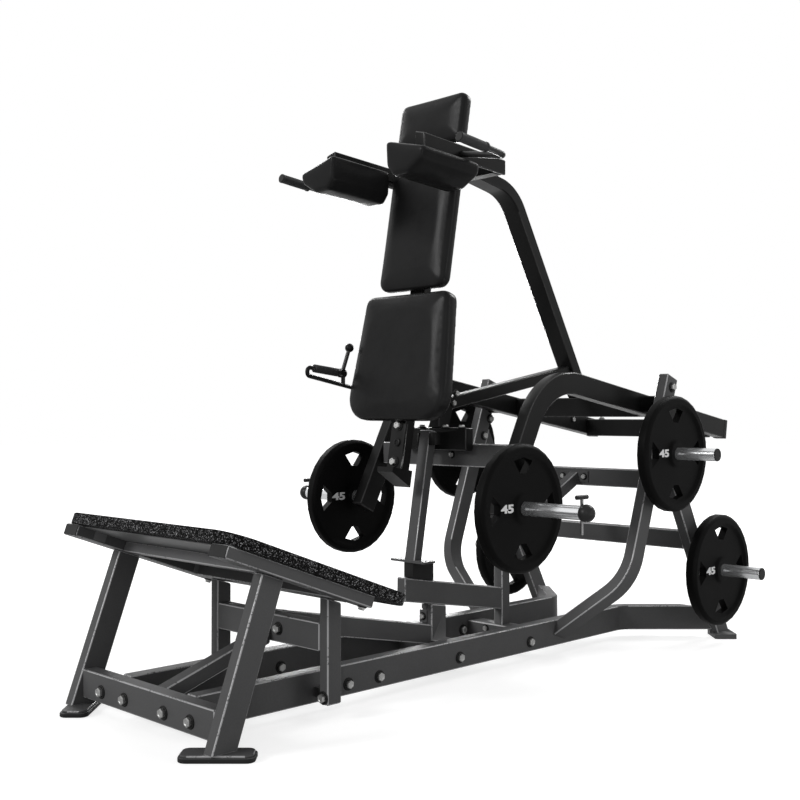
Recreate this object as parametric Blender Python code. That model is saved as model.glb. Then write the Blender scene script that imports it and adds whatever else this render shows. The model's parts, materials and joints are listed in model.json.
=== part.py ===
"""Plate-loaded squat machine: welded frame, hinged carriage with pads, and loose discs."""
import math

import bmesh
import bpy
from mathutils import Matrix, Vector

for old in list(bpy.data.objects):
    bpy.data.objects.remove(old, do_unlink=True)

# Sizes in metres. X runs across the machine, Y from the platform to the rear, Z up from the floor.
GAP = 0.0003
EDGE = 0.004
EDGE_STEPS = 1
ROUND = 28

# Base rails with their flared rear ends
RAIL_X = 0.1725
RAIL_W = 0.050
RAIL_H = 0.100
RAIL_Z = 0.032
FLARE_Y = 1.1395
FLARE_DEG = 45.0
FLARE_R = 0.090

# Front crossbar, legs and feet
BAR_Y = -1.062
BAR_D = 0.050
BAR_Z = 0.040
BAR_H = 0.090
LEG_X = 0.3745
LEG_W = 0.042
LEG_D = 0.087
LEG_LEAN = 0.360
LEG_Y = -1.100
FOOT_T = 0.020
PLATE_T = 0.006
FOOT_L = 0.212
FOOT_W = 0.090
FOOT_DEG = 45.0
FOOT_BACK = -0.0013
FOOT_IN = 0.0098

# Platform
PLAT_Y = -1.075
PLAT_Z = 0.588
PLAT_DEG = 20.1
PLAT_BEAM_X = 0.395
PLAT_BEAM_W = 0.078
PLAT_BEAM_H = 0.038
PLAT_BEAM_L = 0.580
PLAT_CROSS_D = 0.060
MAT_T = 0.035
MAT_W = 0.905
MAT_FRONT = 0.012
MAT_L = 0.750
MAT_R = 0.090

# Short posts and their crossbar
POST_X = 0.283
POST_W = 0.040
POST_D = 0.057
POST_Y = -0.607
POST_Z = 0.048
TAB_Z = 0.054
TAB_H = 0.030
TAB_BACK = 0.008
MID_Z = 0.208
MID_H = 0.088
MID_D = 0.050

# Centre spine under the stop beam
SPINE_W = 0.051
SPINE_H = 0.072
SPINE_Z = 0.300
SPINE_SLOPE = -0.200
BRACE_H = 0.050
BRACE_SLOPE = 0.327
HOLD_Y = 0.147
HOLD_D = 0.081
HOLD_Z = 0.104
CROSS_D = 0.080
CROSS_H = 0.060

# Stop beam, its post and the bumper
STOP_W = 0.044
STOP_Y = 0.012
STOP_Z = 0.345
STOP_SLOPE = -0.170
STOP_H = 0.085
STOP_POST_Y = 0.556
STOP_POST_D = 0.050
STOP_POST_TOP = 0.505
BUMP_Y = 0.050
BUMP_L = 0.110
BUMP_TOP = 0.396
BUMP_W = 0.050

# Curved uprights, rear struts and their crossbars
UP_X = 0.4655
UP_W = 0.044
UP_D = 0.080
UP_LEAN = 0.360
UP_Y = 0.859
UP_Y_AT = 0.637
UP_TOP = 1.100
UP_LOW_DEG = 39.0
UP_BEND_Z = 0.319
UP_BEND_R = 0.185
STRUT_LEAN = -0.555
STRUT_Y = 1.119
STRUT_Y_AT = 0.542
STRUT_D = 0.090
BACK_FOOT_L = 0.130
BACK_FOOT_W = 0.090
BACK_FOOT_T = 0.020
BACK_FOOT_Y = 1.447
REAR_BAR_D = 0.050
REAR_BAR_H = 0.075
REAR_HIGH_Z = 0.634
REAR_LOW_Z = 0.384
DIAG_H = 0.051
DIAG_SLOPE = 0.500
DIAG_RISE = 0.004

# Pivot of the carriage
PIVOT_Y = 1.040
PIVOT_Z = 0.977
PIN_R = 0.0125
PIN_CLEAR = 0.0003
PIN_HEAD_R = 0.019
PIN_HEAD_T = 0.012
HUB_R = 0.034
HUB_WALL_IN = 0.006

# Carriage arms
ARM_X = 0.3435
ARM_W = 0.051
ARM_H = 0.081
ARM_LEAN_DEG = 27.5
ARM_SLOPE_DEG = -9.25
ARM_BEND_R = 0.260
ARM_LOW = 0.046
ARM_END_Y = 1.700
HORN_Y = 0.165
HORN_Z = 0.611
ARM_BEND_UP = 0.4695

# Carriage cross members, centre beam and yoke
TAIL_Y = 1.600
TAIL_DROP = 0.008
TAIL_D = 0.055
TAIL_H = 0.080
LOW_Y = 0.228
LOW_D = 0.050
LOW_Z = 0.743
LOW_H = 0.085
BOX_HALF = 0.160
BOX_D = 0.042
BOX_H = 0.083
DROP_Y = 0.187
DROP_D = 0.080
BEAM_W = 0.050
BEAM_H = 0.046
BEAM_SLOPE_DEG = 10.6
BEAM_TOP_AT = 0.989
YOKE_W = 0.080
YOKE_D = 0.048
YOKE_LEAN_DEG = 30.27
YOKE_R = 0.180
YOKE_TOP_Y = 0.621
YOKE_TOP_Z = 1.8335
CROSS_BEAM_Y = 1.066
CROSS_BEAM_D = 0.070
CROSS_BEAM_Z = 0.926
CROSS_BEAM_H = 0.082

# Back plane that the pads share
PAD_DEG = 10.0
PAD_Y = 0.009
PAD_Z = 0.896
SPAR_W = 0.051
SPAR_D = 0.050
SPAR_FOOT = 0.228
SPAR_HEAD = 1.150
SPAR_PLATE_W = 0.070
SPAR_PLATE_T = 0.008
SPAR_BOX_W = 0.078
SPAR_BOX_D = 0.100
SPAR_BOX_H = 0.070
SPAR_BOX_DEG = 33.0

# Cushions
CUSHION_T = 0.058
CUSHION_CROWN = 0.007
CUSHION_TUCK = 0.005
LOW_PAD_AT = 0.012
LOW_PAD_H = 0.470
LOW_PAD_BASE = 0.250
LOW_PAD_TOP = 0.209
LOW_PAD_R = 0.092
LOW_PAD_TOP_R = 0.038
LOW_PAD_T = 0.070
MID_PAD_AT = 0.500
MID_PAD_H = 0.498
MID_PAD_HALF = 0.166
MID_PAD_R = 0.040
TOP_PAD_AT = 1.052
TOP_PAD_H = 0.185
TOP_PAD_HALF = 0.164
TOP_PAD_R = 0.028

# Shoulder arms, pads and grips
SHO_SLOPE_DEG = -3.7
SHO_ARM_X = 0.2285
SHO_ARM_W = 0.047
SHO_ARM_H = 0.055
SHO_ARM_Y = -0.128
SHO_ARM_Z = 1.896
SHO_ARM_END = 0.305
SHO_BAR_D = 0.048
SHO_BAR_Z = 1.818
SHO_BAR_H = 0.058
SHO_TILT = 0.240
SHO_PAD_Y = -0.200
SHO_PAD_L = 0.290
SHO_PAD_IN = 0.130
SHO_PAD_OUT = 0.318
SHO_PAD_H = 0.128
GRIP_X = 0.455
GRIP_Y = -0.178
GRIP_Z = 1.836
GRIP_BACK = 0.060
GRIP_FALL = 0.024
GRIP_R = 0.016
GRIP_BAR_R = 0.011
GRIP_L = 0.135

# Loading horns and discs
HORN_R = 0.0245
HORN_END = 0.706
BALL_R = 0.030
STORE_END = 0.742
STORE_CAP_L = 0.030
STORE_CAP_R = 0.0245
DISC_R = 0.225
DISC_T = 0.050
DISC_BORE_CLEAR = 0.0005
DISC_HUB_R = 0.048
DISC_WEB_T = 0.030
DISC_RIM_IN = 0.192
DISC_X = 0.4277
STORE_DISC_X = 0.551
HIGH_Z = 0.784
LOW_DISC_Z = 0.3025
LOCK_X = 0.688
LOCK_R = 0.0055
LOCK_TOP = 0.052
LOCK_BOTTOM = 0.072
LOCK_BAR_L = 0.058
LOCK_BAR_R = 0.0075

# Stop leg under the carriage
PROP_W = 0.051
PROP_D = 0.040
PROP_HINGE_Y = 0.152
PROP_HINGE_Z = 0.845
PROP_TOP = 0.031
PROP_FOOT_W = 0.170
PROP_FOOT_D = 0.060
PROP_FOOT_T = 0.008
PROP_PIN_R = 0.008
PROP_EAR_T = 0.008
PROP_EAR_R = 0.022

# Side handle and release lever on the left
SIDE_X = -0.275
SIDE_Y = 0.048
SIDE_Z = 1.012
SIDE_BAR_H = 0.040
SIDE_BAR_T = 0.020
SIDE_R = 0.008
SIDE_REACH = 0.248
SIDE_RISE = 0.047
SIDE_TIP = 0.031
SIDE_FALL = 0.019
SIDE_LINK = 0.071
SIDE_BEND = 0.014
SIDE_GRIP_R = 0.0145
SIDE_GRIP_L = 0.137
SIDE_GRIP_AT = 0.008
LEVER_Y = -0.050
LEVER_R = 0.0075
LEVER_L = 0.100
LEVER_BALL_R = 0.017
LEVER_HUB_R = 0.013
LEVER_HUB_T = 0.016
LEVER_PIN_R = 0.004
LEVER_LEAN_DEG = 21.0

ALL = []


def material(name, colour, rough, metal):
    mat = bpy.data.materials.get(name) or bpy.data.materials.new(name)
    mat.use_nodes = True
    bsdf = mat.node_tree.nodes["Principled BSDF"]
    bsdf.inputs["Base Color"].default_value = (*colour, 1.0)
    bsdf.inputs["Roughness"].default_value = rough
    bsdf.inputs["Metallic"].default_value = metal
    return mat


def finish(name, bm, mat, smooth=False):
    bmesh.ops.remove_doubles(bm, verts=bm.verts, dist=0.00002)
    bmesh.ops.recalc_face_normals(bm, faces=bm.faces)
    if bm.calc_volume(signed=True) < 0:
        bmesh.ops.reverse_faces(bm, faces=bm.faces)
    mesh = bpy.data.meshes.new(name)
    bm.to_mesh(mesh)
    bm.free()
    obj = bpy.data.objects.new(name, mesh)
    bpy.context.scene.collection.objects.link(obj)
    mesh.materials.append(mat)
    if smooth:
        for poly in mesh.polygons:
            poly.use_smooth = True
    ALL.append(obj)
    return obj


def soften(bm, width, steps=EDGE_STEPS, limit=0.5):
    if width <= 0:
        return
    sharp = [e for e in bm.edges if len(e.link_faces) == 2 and e.calc_face_angle() > limit]
    bmesh.ops.bevel(bm, geom=sharp, offset=width, offset_type="OFFSET", segments=steps,
                    profile=0.5, affect="EDGES", clamp_overlap=True)


def prism_bm(outline, axis, low, high):
    """A closed prism: outline in the two other axes, extruded along one."""
    bm = bmesh.new()
    orders = {"x": lambda a, b, c: (c, a, b), "y": lambda a, b, c: (a, c, b), "z": lambda a, b, c: (a, b, c)}
    order = orders[axis]
    base = [bm.verts.new(order(a, b, low)) for a, b in outline]
    top = [bm.verts.new(order(a, b, high)) for a, b in outline]
    bm.faces.new(base)
    bm.faces.new(list(reversed(top)))
    count = len(outline)
    for i in range(count):
        bm.faces.new((base[i], top[i], top[(i + 1) % count], base[(i + 1) % count]))
    bmesh.ops.recalc_face_normals(bm, faces=bm.faces)
    return bm


def box_bm(x0, x1, y0, y1, z0, z1):
    return prism_bm([(x0, y0), (x1, y0), (x1, y1), (x0, y1)], "z", z0, z1)


def shear(bm, amount, at):
    for vert in bm.verts:
        vert.co.y += amount * (vert.co.z - at)


def slice_off(bm, point, normal):
    """Cut away everything on the side that the normal points to, and close the cut."""
    geom = list(bm.verts) + list(bm.edges) + list(bm.faces)
    cut = bmesh.ops.bisect_plane(bm, geom=geom, plane_co=point, plane_no=normal, clear_outer=True, dist=1e-7)
    edges = [e for e in cut["geom_cut"] if isinstance(e, bmesh.types.BMEdge)]
    bmesh.ops.edgeloop_fill(bm, edges=edges)
    bmesh.ops.recalc_face_normals(bm, faces=bm.faces)


def cylinder_bm(radius, start, end, segments=ROUND):
    start = Vector(start)
    end = Vector(end)
    axis = end - start
    bm = bmesh.new()
    bmesh.ops.create_cone(bm, cap_ends=True, segments=segments, radius1=radius, radius2=radius,
                          depth=axis.length)
    turn = Vector((0, 0, 1)).rotation_difference(axis.normalized()).to_matrix().to_4x4()
    bmesh.ops.transform(bm, matrix=Matrix.Translation((start + end) / 2) @ turn, verts=bm.verts)
    return bm


def scratch(bm, name="tool"):
    mesh = bpy.data.meshes.new(name)
    bm.to_mesh(mesh)
    bm.free()
    obj = bpy.data.objects.new(name, mesh)
    bpy.context.scene.collection.objects.link(obj)
    obj.hide_render = True
    obj.display_type = "WIRE"
    return obj


def combine(bm, parts, kind):
    """Boolean a bmesh with others and give back a new bmesh."""
    base = scratch(bm, "base")
    tools = [scratch(part) for part in parts]
    for tool in tools:
        mod = base.modifiers.new("bool", "BOOLEAN")
        mod.operation = kind
        mod.solver = "EXACT"
        mod.object = tool
    graph = bpy.context.evaluated_depsgraph_get()
    graph.update()
    mesh = bpy.data.meshes.new_from_object(base.evaluated_get(graph))
    out = bmesh.new()
    out.from_mesh(mesh)
    bpy.data.meshes.remove(mesh)
    for tool in tools:
        bpy.data.objects.remove(tool, do_unlink=True)
    bpy.data.objects.remove(base, do_unlink=True)
    bmesh.ops.remove_doubles(out, verts=out.verts, dist=0.00002)
    bmesh.ops.dissolve_degenerate(out, edges=out.edges, dist=0.00002)
    return out


def rounded(corners, radius, steps, inset=0.0):
    """Convex outline with rounded corners, one radius or one for each, and edges moved in by the inset."""
    count = len(corners)
    lines = []
    for i in range(count):
        a = Vector(corners[i])
        b = Vector(corners[(i + 1) % count])
        along = (b - a).normalized()
        inward = Vector((-along.y, along.x))
        lines.append((a + inward * inset, along))
    points = []
    radii = radius if isinstance(radius, tuple) else (radius,) * count
    for i in range(count):
        bend = max(radii[i] - inset, 0.0015)
        p, d = lines[i - 1]
        q, e = lines[i]
        cross = d.x * e.y - d.y * e.x
        t = ((q.x - p.x) * e.y - (q.y - p.y) * e.x) / cross
        corner = p + d * t
        turn = d.angle(e)
        back = bend * math.tan(turn / 2)
        centre = corner - d * back + Vector((-d.y, d.x)) * bend
        start = math.atan2((corner - d * back - centre).y, (corner - d * back - centre).x)
        for k in range(steps + 1):
            ang = start + turn * k / steps
            points.append(centre + Vector((math.cos(ang), math.sin(ang))) * bend)
    return points


def cushion(name, corners, radius, thick, crown, edge, place, mat, steps=6):
    """A crowned pad: sides drawn in at the board, rolled edge, and a domed face."""
    rings = [(CUSHION_TUCK, 0.0), (0.0015, thick * 0.22), (0.0, thick * 0.42)]
    roll = 4
    for k in range(roll + 1):
        ang = math.pi / 2 * k / roll
        rings.append((edge * (1 - math.cos(ang)), thick - crown - edge + edge * math.sin(ang)))
    rings.append((edge * 1.9, thick - crown * 0.45))
    rings.append((edge * 3.0, thick - crown * 0.12))
    bm = bmesh.new()
    loops = []
    for inset, depth in rings:
        outline = rounded(corners, radius, steps, inset)
        loops.append([bm.verts.new(place(p.x, p.y, depth)) for p in outline])
    count = len(loops[0])
    for low, high in zip(loops, loops[1:]):
        for i in range(count):
            j = (i + 1) % count
            bm.faces.new((low[i], low[j], high[j], high[i]))
    bm.faces.new(list(reversed(loops[0])))
    bm.faces.new(loops[-1])
    bmesh.ops.recalc_face_normals(bm, faces=bm.faces)
    return finish(name, bm, mat, smooth=True)


def slab_bm(corners, radius, steps, low, high, edge):
    """A flat slab with rounded corners and eased rims."""
    cut = edge * 0.3
    rings = [(edge, low), (cut, low + cut), (0.0, low + edge)]
    rings += [(0.0, high - edge), (cut, high - cut), (edge, high)]
    bm = bmesh.new()
    loops = []
    for inset, z in rings:
        loops.append([bm.verts.new((p.x, p.y, z)) for p in rounded(corners, radius, steps, inset)])
    count = len(loops[0])
    for a, b in zip(loops, loops[1:]):
        for i in range(count):
            j = (i + 1) % count
            bm.faces.new((a[i], a[j], b[j], b[i]))
    bm.faces.new(list(reversed(loops[0])))
    bm.faces.new(loops[-1])
    bmesh.ops.recalc_face_normals(bm, faces=bm.faces)
    return bm


def fillet_path(points, radius, steps=8):
    """Replace each inner corner of a path by an arc."""
    out = [Vector(points[0])]
    for i in range(1, len(points) - 1):
        a = Vector(points[i - 1])
        b = Vector(points[i])
        c = Vector(points[i + 1])
        u = (b - a).normalized()
        w = (c - b).normalized()
        turn = u.angle(w)
        if turn < 1e-4:
            continue
        back = radius * math.tan(turn / 2)
        start = b - u * back
        side = (w - u * u.dot(w)).normalized()
        centre = start + side * radius
        for k in range(steps + 1):
            ang = turn * k / steps
            out.append(centre - side * radius * math.cos(ang) + u * radius * math.sin(ang))
    out.append(Vector(points[-1]))
    return out


def ribbon(path, half):
    """Outline of a flat strip that follows a 2D path."""
    left = []
    right = []
    for i, p in enumerate(path):
        prev = path[max(i - 1, 0)]
        nxt = path[min(i + 1, len(path) - 1)]
        d0 = (p - prev).normalized() if i > 0 else (nxt - p).normalized()
        d1 = (nxt - p).normalized() if i < len(path) - 1 else d0
        d = (d0 + d1).normalized()
        scale = 1.0 / max(d.dot(d1), 0.2)
        n = Vector((-d.y, d.x)) * half * scale
        left.append(p + n)
        right.append(p - n)
    return [(q.x, q.y) for q in left + list(reversed(right))]


def pipe_bm(path, radius, segments=16):
    """One closed round tube along a 3D path."""
    bm = bmesh.new()
    loops = []
    normal = None
    for i, p in enumerate(path):
        a = path[max(i - 1, 0)]
        b = path[min(i + 1, len(path) - 1)]
        d0 = (p - a).normalized() if i > 0 else (b - p).normalized()
        d1 = (b - p).normalized() if i < len(path) - 1 else d0
        d = (d0 + d1).normalized()
        if normal is None:
            guess = Vector((0, 0, 1)) if abs(d.z) < 0.9 else Vector((0, 1, 0))
            normal = (guess - d * guess.dot(d)).normalized()
        normal = (normal - d * normal.dot(d)).normalized()
        other = d.cross(normal)
        ring = []
        for k in range(segments):
            ang = 2 * math.pi * k / segments
            ring.append(bm.verts.new(p + (normal * math.cos(ang) + other * math.sin(ang)) * radius))
        loops.append(ring)
    for low, high in zip(loops, loops[1:]):
        for i in range(segments):
            j = (i + 1) % segments
            bm.faces.new((low[i], low[j], high[j], high[i]))
    bm.faces.new(list(reversed(loops[0])))
    bm.faces.new(loops[-1])
    bmesh.ops.recalc_face_normals(bm, faces=bm.faces)
    return bm


def lathe_bm(profile, centre, axis, segments=ROUND):
    """Turn a closed profile of (along, radius) points about an axis through the centre."""
    axis = Vector(axis).normalized()
    guess = Vector((0, 0, 1)) if abs(axis.z) < 0.9 else Vector((0, 1, 0))
    up = (guess - axis * guess.dot(axis)).normalized()
    side = axis.cross(up)
    centre = Vector(centre)
    bm = bmesh.new()
    rings = []
    for along, radius in profile:
        if radius < 1e-6:
            rings.append([bm.verts.new(centre + axis * along)])
            continue
        ring = []
        for k in range(segments):
            ang = 2 * math.pi * k / segments
            spoke = up * math.cos(ang) + side * math.sin(ang)
            ring.append(bm.verts.new(centre + axis * along + spoke * radius))
        rings.append(ring)
    return bm, rings


def skin(bm, rings, closed):
    pairs = list(zip(rings, rings[1:]))
    if closed:
        pairs.append((rings[-1], rings[0]))
    for low, high in pairs:
        if len(low) == 1 and len(high) == 1:
            continue
        if len(low) == 1:
            for i in range(len(high)):
                bm.faces.new((low[0], high[(i + 1) % len(high)], high[i]))
        elif len(high) == 1:
            for i in range(len(low)):
                bm.faces.new((low[i], low[(i + 1) % len(low)], high[0]))
        else:
            for i in range(len(low)):
                j = (i + 1) % len(low)
                bm.faces.new((low[i], low[j], high[j], high[i]))
    bmesh.ops.recalc_face_normals(bm, faces=bm.faces)


frame_grey = material("frame_grey", (0.085, 0.087, 0.090), 0.42, 0.35)
satin_black = material("satin_black", (0.012, 0.012, 0.013), 0.38, 0.20)
vinyl = material("vinyl", (0.016, 0.016, 0.017), 0.48, 0.0)
urethane = material("urethane", (0.014, 0.014, 0.015), 0.55, 0.0)
chromed = material("chromed", (0.62, 0.62, 0.63), 0.12, 1.0)
rubber = material("rubber", (0.010, 0.010, 0.010), 0.80, 0.0)
deck = material("deck", (0.012, 0.012, 0.013), 0.85, 0.0)

SIDES = (("left", -1), ("right", 1))


def mirror(bm, sign):
    if sign < 0:
        for vert in bm.verts:
            vert.co.x = -vert.co.x
        bmesh.ops.reverse_faces(bm, faces=bm.faces)
    return bm


def strut_front(z):
    return STRUT_Y + STRUT_LEAN * (z - STRUT_Y_AT)


def upright_front(z):
    return UP_Y + UP_LEAN * (z - UP_Y_AT)


# Base rails
rail_top = RAIL_Z + RAIL_H
bar_back = BAR_Y + BAR_D
flare = math.radians(FLARE_DEG)
for side, sign in SIDES:
    far_y = strut_front(RAIL_Z) + 0.15
    path = [Vector((RAIL_X, bar_back + GAP)), Vector((RAIL_X, FLARE_Y)),
            Vector((RAIL_X + (far_y - FLARE_Y) * math.tan(flare), far_y))]
    outline = ribbon(fillet_path(path, FLARE_R, 8), RAIL_W / 2)
    bm = prism_bm(outline, "z", RAIL_Z, rail_top)
    cut = Vector((0, 1, -STRUT_LEAN)).normalized()
    slice_off(bm, Vector((0, strut_front(0) - GAP * 1.2, 0)), cut)
    soften(bm, EDGE)
    finish("rail_" + side, mirror(bm, sign), frame_grey)

# Front crossbar and legs
leg_in = LEG_X - LEG_W / 2
bm = box_bm(-leg_in + GAP, leg_in - GAP, BAR_Y, bar_back, BAR_Z, BAR_Z + BAR_H)
soften(bm, EDGE)
finish("front_crossbar", bm, frame_grey)

plat = math.radians(PLAT_DEG)
plat_normal = Vector((0, math.sin(plat), math.cos(plat)))
plat_along = Vector((0, math.cos(plat), -math.sin(plat)))
plat_front = Vector((0, PLAT_Y, PLAT_Z))
foot_x = LEG_X - FOOT_IN
foot_y = LEG_Y + LEG_D / 2 + FOOT_BACK


def foot_slab(grow, low, high, edge):
    half = FOOT_L / 2 - grow
    width = FOOT_W / 2 - grow
    corners = [(-half, -width), (half, -width), (half, width), (-half, width)]
    slab = slab_bm(corners, width * 0.55, 5, low, high, edge)
    turn = Matrix.Translation((foot_x, foot_y, 0)) @ Matrix.Rotation(math.radians(FOOT_DEG), 4, "Z")
    bmesh.ops.transform(slab, matrix=turn, verts=slab.verts)
    return slab


for side, sign in SIDES:
    bm = prism_bm([(LEG_X - LEG_W / 2, LEG_Y), (LEG_X + LEG_W / 2, LEG_Y),
                   (LEG_X + LEG_W / 2, LEG_Y + LEG_D),
                   (LEG_X - LEG_W / 2, LEG_Y + LEG_D)], "z", FOOT_T - PLATE_T * 0.5, PLAT_Z + 0.1)
    shear(bm, LEG_LEAN, FOOT_T)
    under = plat_front - plat_normal * (PLAT_BEAM_H + GAP)
    slice_off(bm, under, plat_normal)
    soften(bm, EDGE)
    sole = foot_slab(0.006, FOOT_T - PLATE_T, FOOT_T, 0.0015)
    bm = combine(bm, [sole], "UNION")
    finish("front_leg_" + side, mirror(bm, sign), frame_grey)
    bm = foot_slab(0.0, 0.0, FOOT_T - PLATE_T - GAP, 0.003)
    finish("front_foot_" + side, mirror(bm, sign), rubber)


def on_platform(x, along, up):
    return plat_front + Vector((x, 0, 0)) + plat_along * along + plat_normal * up


def platform_box(x0, x1, a0, a1, u0, u1):
    bm = bmesh.new()
    verts = [bm.verts.new(on_platform(x, a, u)) for u in (u0, u1) for a in (a0, a1) for x in (x0, x1)]
    for quad in ((0, 1, 3, 2), (4, 6, 7, 5), (0, 4, 5, 1), (2, 3, 7, 6), (0, 2, 6, 4), (1, 5, 7, 3)):
        bm.faces.new([verts[i] for i in quad])
    bmesh.ops.recalc_face_normals(bm, faces=bm.faces)
    return bm


# Platform beams, cross members and mat
beam_in = PLAT_BEAM_X - PLAT_BEAM_W / 2
for side, sign in SIDES:
    bm = platform_box(beam_in, PLAT_BEAM_X + PLAT_BEAM_W / 2, 0.0, PLAT_BEAM_L, -PLAT_BEAM_H, 0.0)
    soften(bm, EDGE)
    finish("platform_beam_" + side, mirror(bm, sign), frame_grey)
post_mid_along = (POST_Y + POST_D / 2 - PLAT_Y) / math.cos(plat)
bm = platform_box(-beam_in + GAP, beam_in - GAP, post_mid_along - PLAT_CROSS_D / 2 - 0.010,
                  post_mid_along + PLAT_CROSS_D / 2 - 0.010, -PLAT_BEAM_H, 0.0)
soften(bm, EDGE)
finish("platform_rear_bar", bm, frame_grey)
half = MAT_W / 2
corners = [(-half, -MAT_FRONT), (half, -MAT_FRONT), (half, MAT_L - MAT_FRONT), (-half, MAT_L - MAT_FRONT)]
bm = slab_bm(corners, MAT_R, 8, GAP, MAT_T, 0.003)
for vert in bm.verts:
    vert.co = on_platform(vert.co.x, vert.co.y, vert.co.z)
finish("platform_mat", bm, deck)

# Short posts and the crossbar between them
for side, sign in SIDES:
    bm = box_bm(POST_X - POST_W / 2, POST_X + POST_W / 2, POST_Y, POST_Y + POST_D, POST_Z, PLAT_Z)
    slice_off(bm, plat_front - plat_normal * (PLAT_BEAM_H + GAP), plat_normal)
    soften(bm, EDGE)
    tab = box_bm(RAIL_X + RAIL_W / 2 + GAP, POST_X, POST_Y + POST_D * 0.6, POST_Y + POST_D + TAB_BACK,
                 TAB_Z, TAB_Z + TAB_H)
    bm = combine(bm, [tab], "UNION")
    finish("short_post_" + side, mirror(bm, sign), frame_grey)
post_in = POST_X - POST_W / 2
bm = box_bm(-post_in + GAP, post_in - GAP, POST_Y, POST_Y + MID_D, MID_Z, MID_Z + MID_H)
soften(bm, EDGE)
finish("mid_crossbar", bm, frame_grey)

# Rising brace at the front and falling spine behind the crossbar
low_z = BAR_Z + BAR_H - 0.012
bm = prism_bm([(bar_back - 0.05, low_z - 0.05 * BRACE_SLOPE),
               (POST_Y + 0.05, low_z + (POST_Y + 0.05 - bar_back) * BRACE_SLOPE),
               (POST_Y + 0.05, low_z - BRACE_H + (POST_Y + 0.05 - bar_back) * BRACE_SLOPE),
               (bar_back - 0.05, low_z - BRACE_H - 0.05 * BRACE_SLOPE)], "x", -SPINE_W / 2, SPINE_W / 2)
slice_off(bm, Vector((0, bar_back + GAP, 0)), Vector((0, -1, 0)))
slice_off(bm, Vector((0, POST_Y - GAP, 0)), Vector((0, 1, 0)))
soften(bm, EDGE)
finish("front_brace", bm, frame_grey)
mid_back = POST_Y + MID_D


def spine_top(y):
    return SPINE_Z + SPINE_SLOPE * (y - mid_back)


bm = prism_bm([(mid_back - 0.05, spine_top(mid_back - 0.05)), (HOLD_Y + 0.05, spine_top(HOLD_Y + 0.05)),
               (HOLD_Y + 0.05, spine_top(HOLD_Y + 0.05) - SPINE_H),
               (mid_back - 0.05, spine_top(mid_back - 0.05) - SPINE_H)],
              "x", -SPINE_W / 2, SPINE_W / 2)
slice_off(bm, Vector((0, mid_back + GAP, 0)), Vector((0, -1, 0)))
slice_off(bm, Vector((0, HOLD_Y - GAP, 0)), Vector((0, 1, 0)))
soften(bm, EDGE)
finish("spine", bm, frame_grey)

# Cross members between the rails, under the support and the stop post
rail_in = RAIL_X - RAIL_W / 2
cross_top = HOLD_Z


def floor_bar(centre):
    bar = box_bm(-rail_in + GAP, rail_in - GAP, centre - CROSS_D / 2, centre + CROSS_D / 2,
                 cross_top - CROSS_H, cross_top)
    soften(bar, EDGE)
    return bar


def stop_top(y):
    return STOP_Z + STOP_SLOPE * (y - STOP_Y)


stop_turn = math.atan(STOP_SLOPE)
stop_drop = STOP_H / math.cos(stop_turn)
bm = box_bm(-SPINE_W / 2, SPINE_W / 2, HOLD_Y, HOLD_Y + HOLD_D, cross_top - EDGE * 2, STOP_Z)
slice_off(bm, Vector((0, STOP_Y, STOP_Z - stop_drop - GAP * 1.1)), Vector((0, -STOP_SLOPE, 1)).normalized())
soften(bm, EDGE)
bm = combine(bm, [floor_bar(HOLD_Y + HOLD_D / 2)], "UNION")
finish("beam_support", bm, frame_grey)

# Stop beam, its post and the rubber bumper
bm = prism_bm([(STOP_Y, stop_top(STOP_Y)), (STOP_POST_Y + 0.05, stop_top(STOP_POST_Y + 0.05)),
               (STOP_POST_Y + 0.05, stop_top(STOP_POST_Y + 0.05) - stop_drop),
               (STOP_Y - stop_drop * math.sin(stop_turn) * -0.1, stop_top(STOP_Y) - stop_drop)],
              "x", -STOP_W / 2, STOP_W / 2)
slice_off(bm, Vector((0, STOP_POST_Y - GAP, 0)), Vector((0, 1, 0)))
soften(bm, EDGE)
finish("stop_beam", bm, frame_grey)
bm = box_bm(-STOP_W / 2, STOP_W / 2, STOP_POST_Y, STOP_POST_Y + STOP_POST_D,
            cross_top - EDGE * 2, STOP_POST_TOP)
soften(bm, EDGE)
bm = combine(bm, [floor_bar(STOP_POST_Y + STOP_POST_D / 2)], "UNION")
finish("stop_post", bm, frame_grey)
bm = box_bm(-BUMP_W / 2, BUMP_W / 2, BUMP_Y, BUMP_Y + BUMP_L, STOP_Z - 0.08, BUMP_TOP)
slice_off(bm, Vector((0, STOP_Y, STOP_Z + GAP * 1.1)), -Vector((0, -STOP_SLOPE, 1)).normalized())
soften(bm, 0.003)
finish("bumper", bm, rubber)

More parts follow.
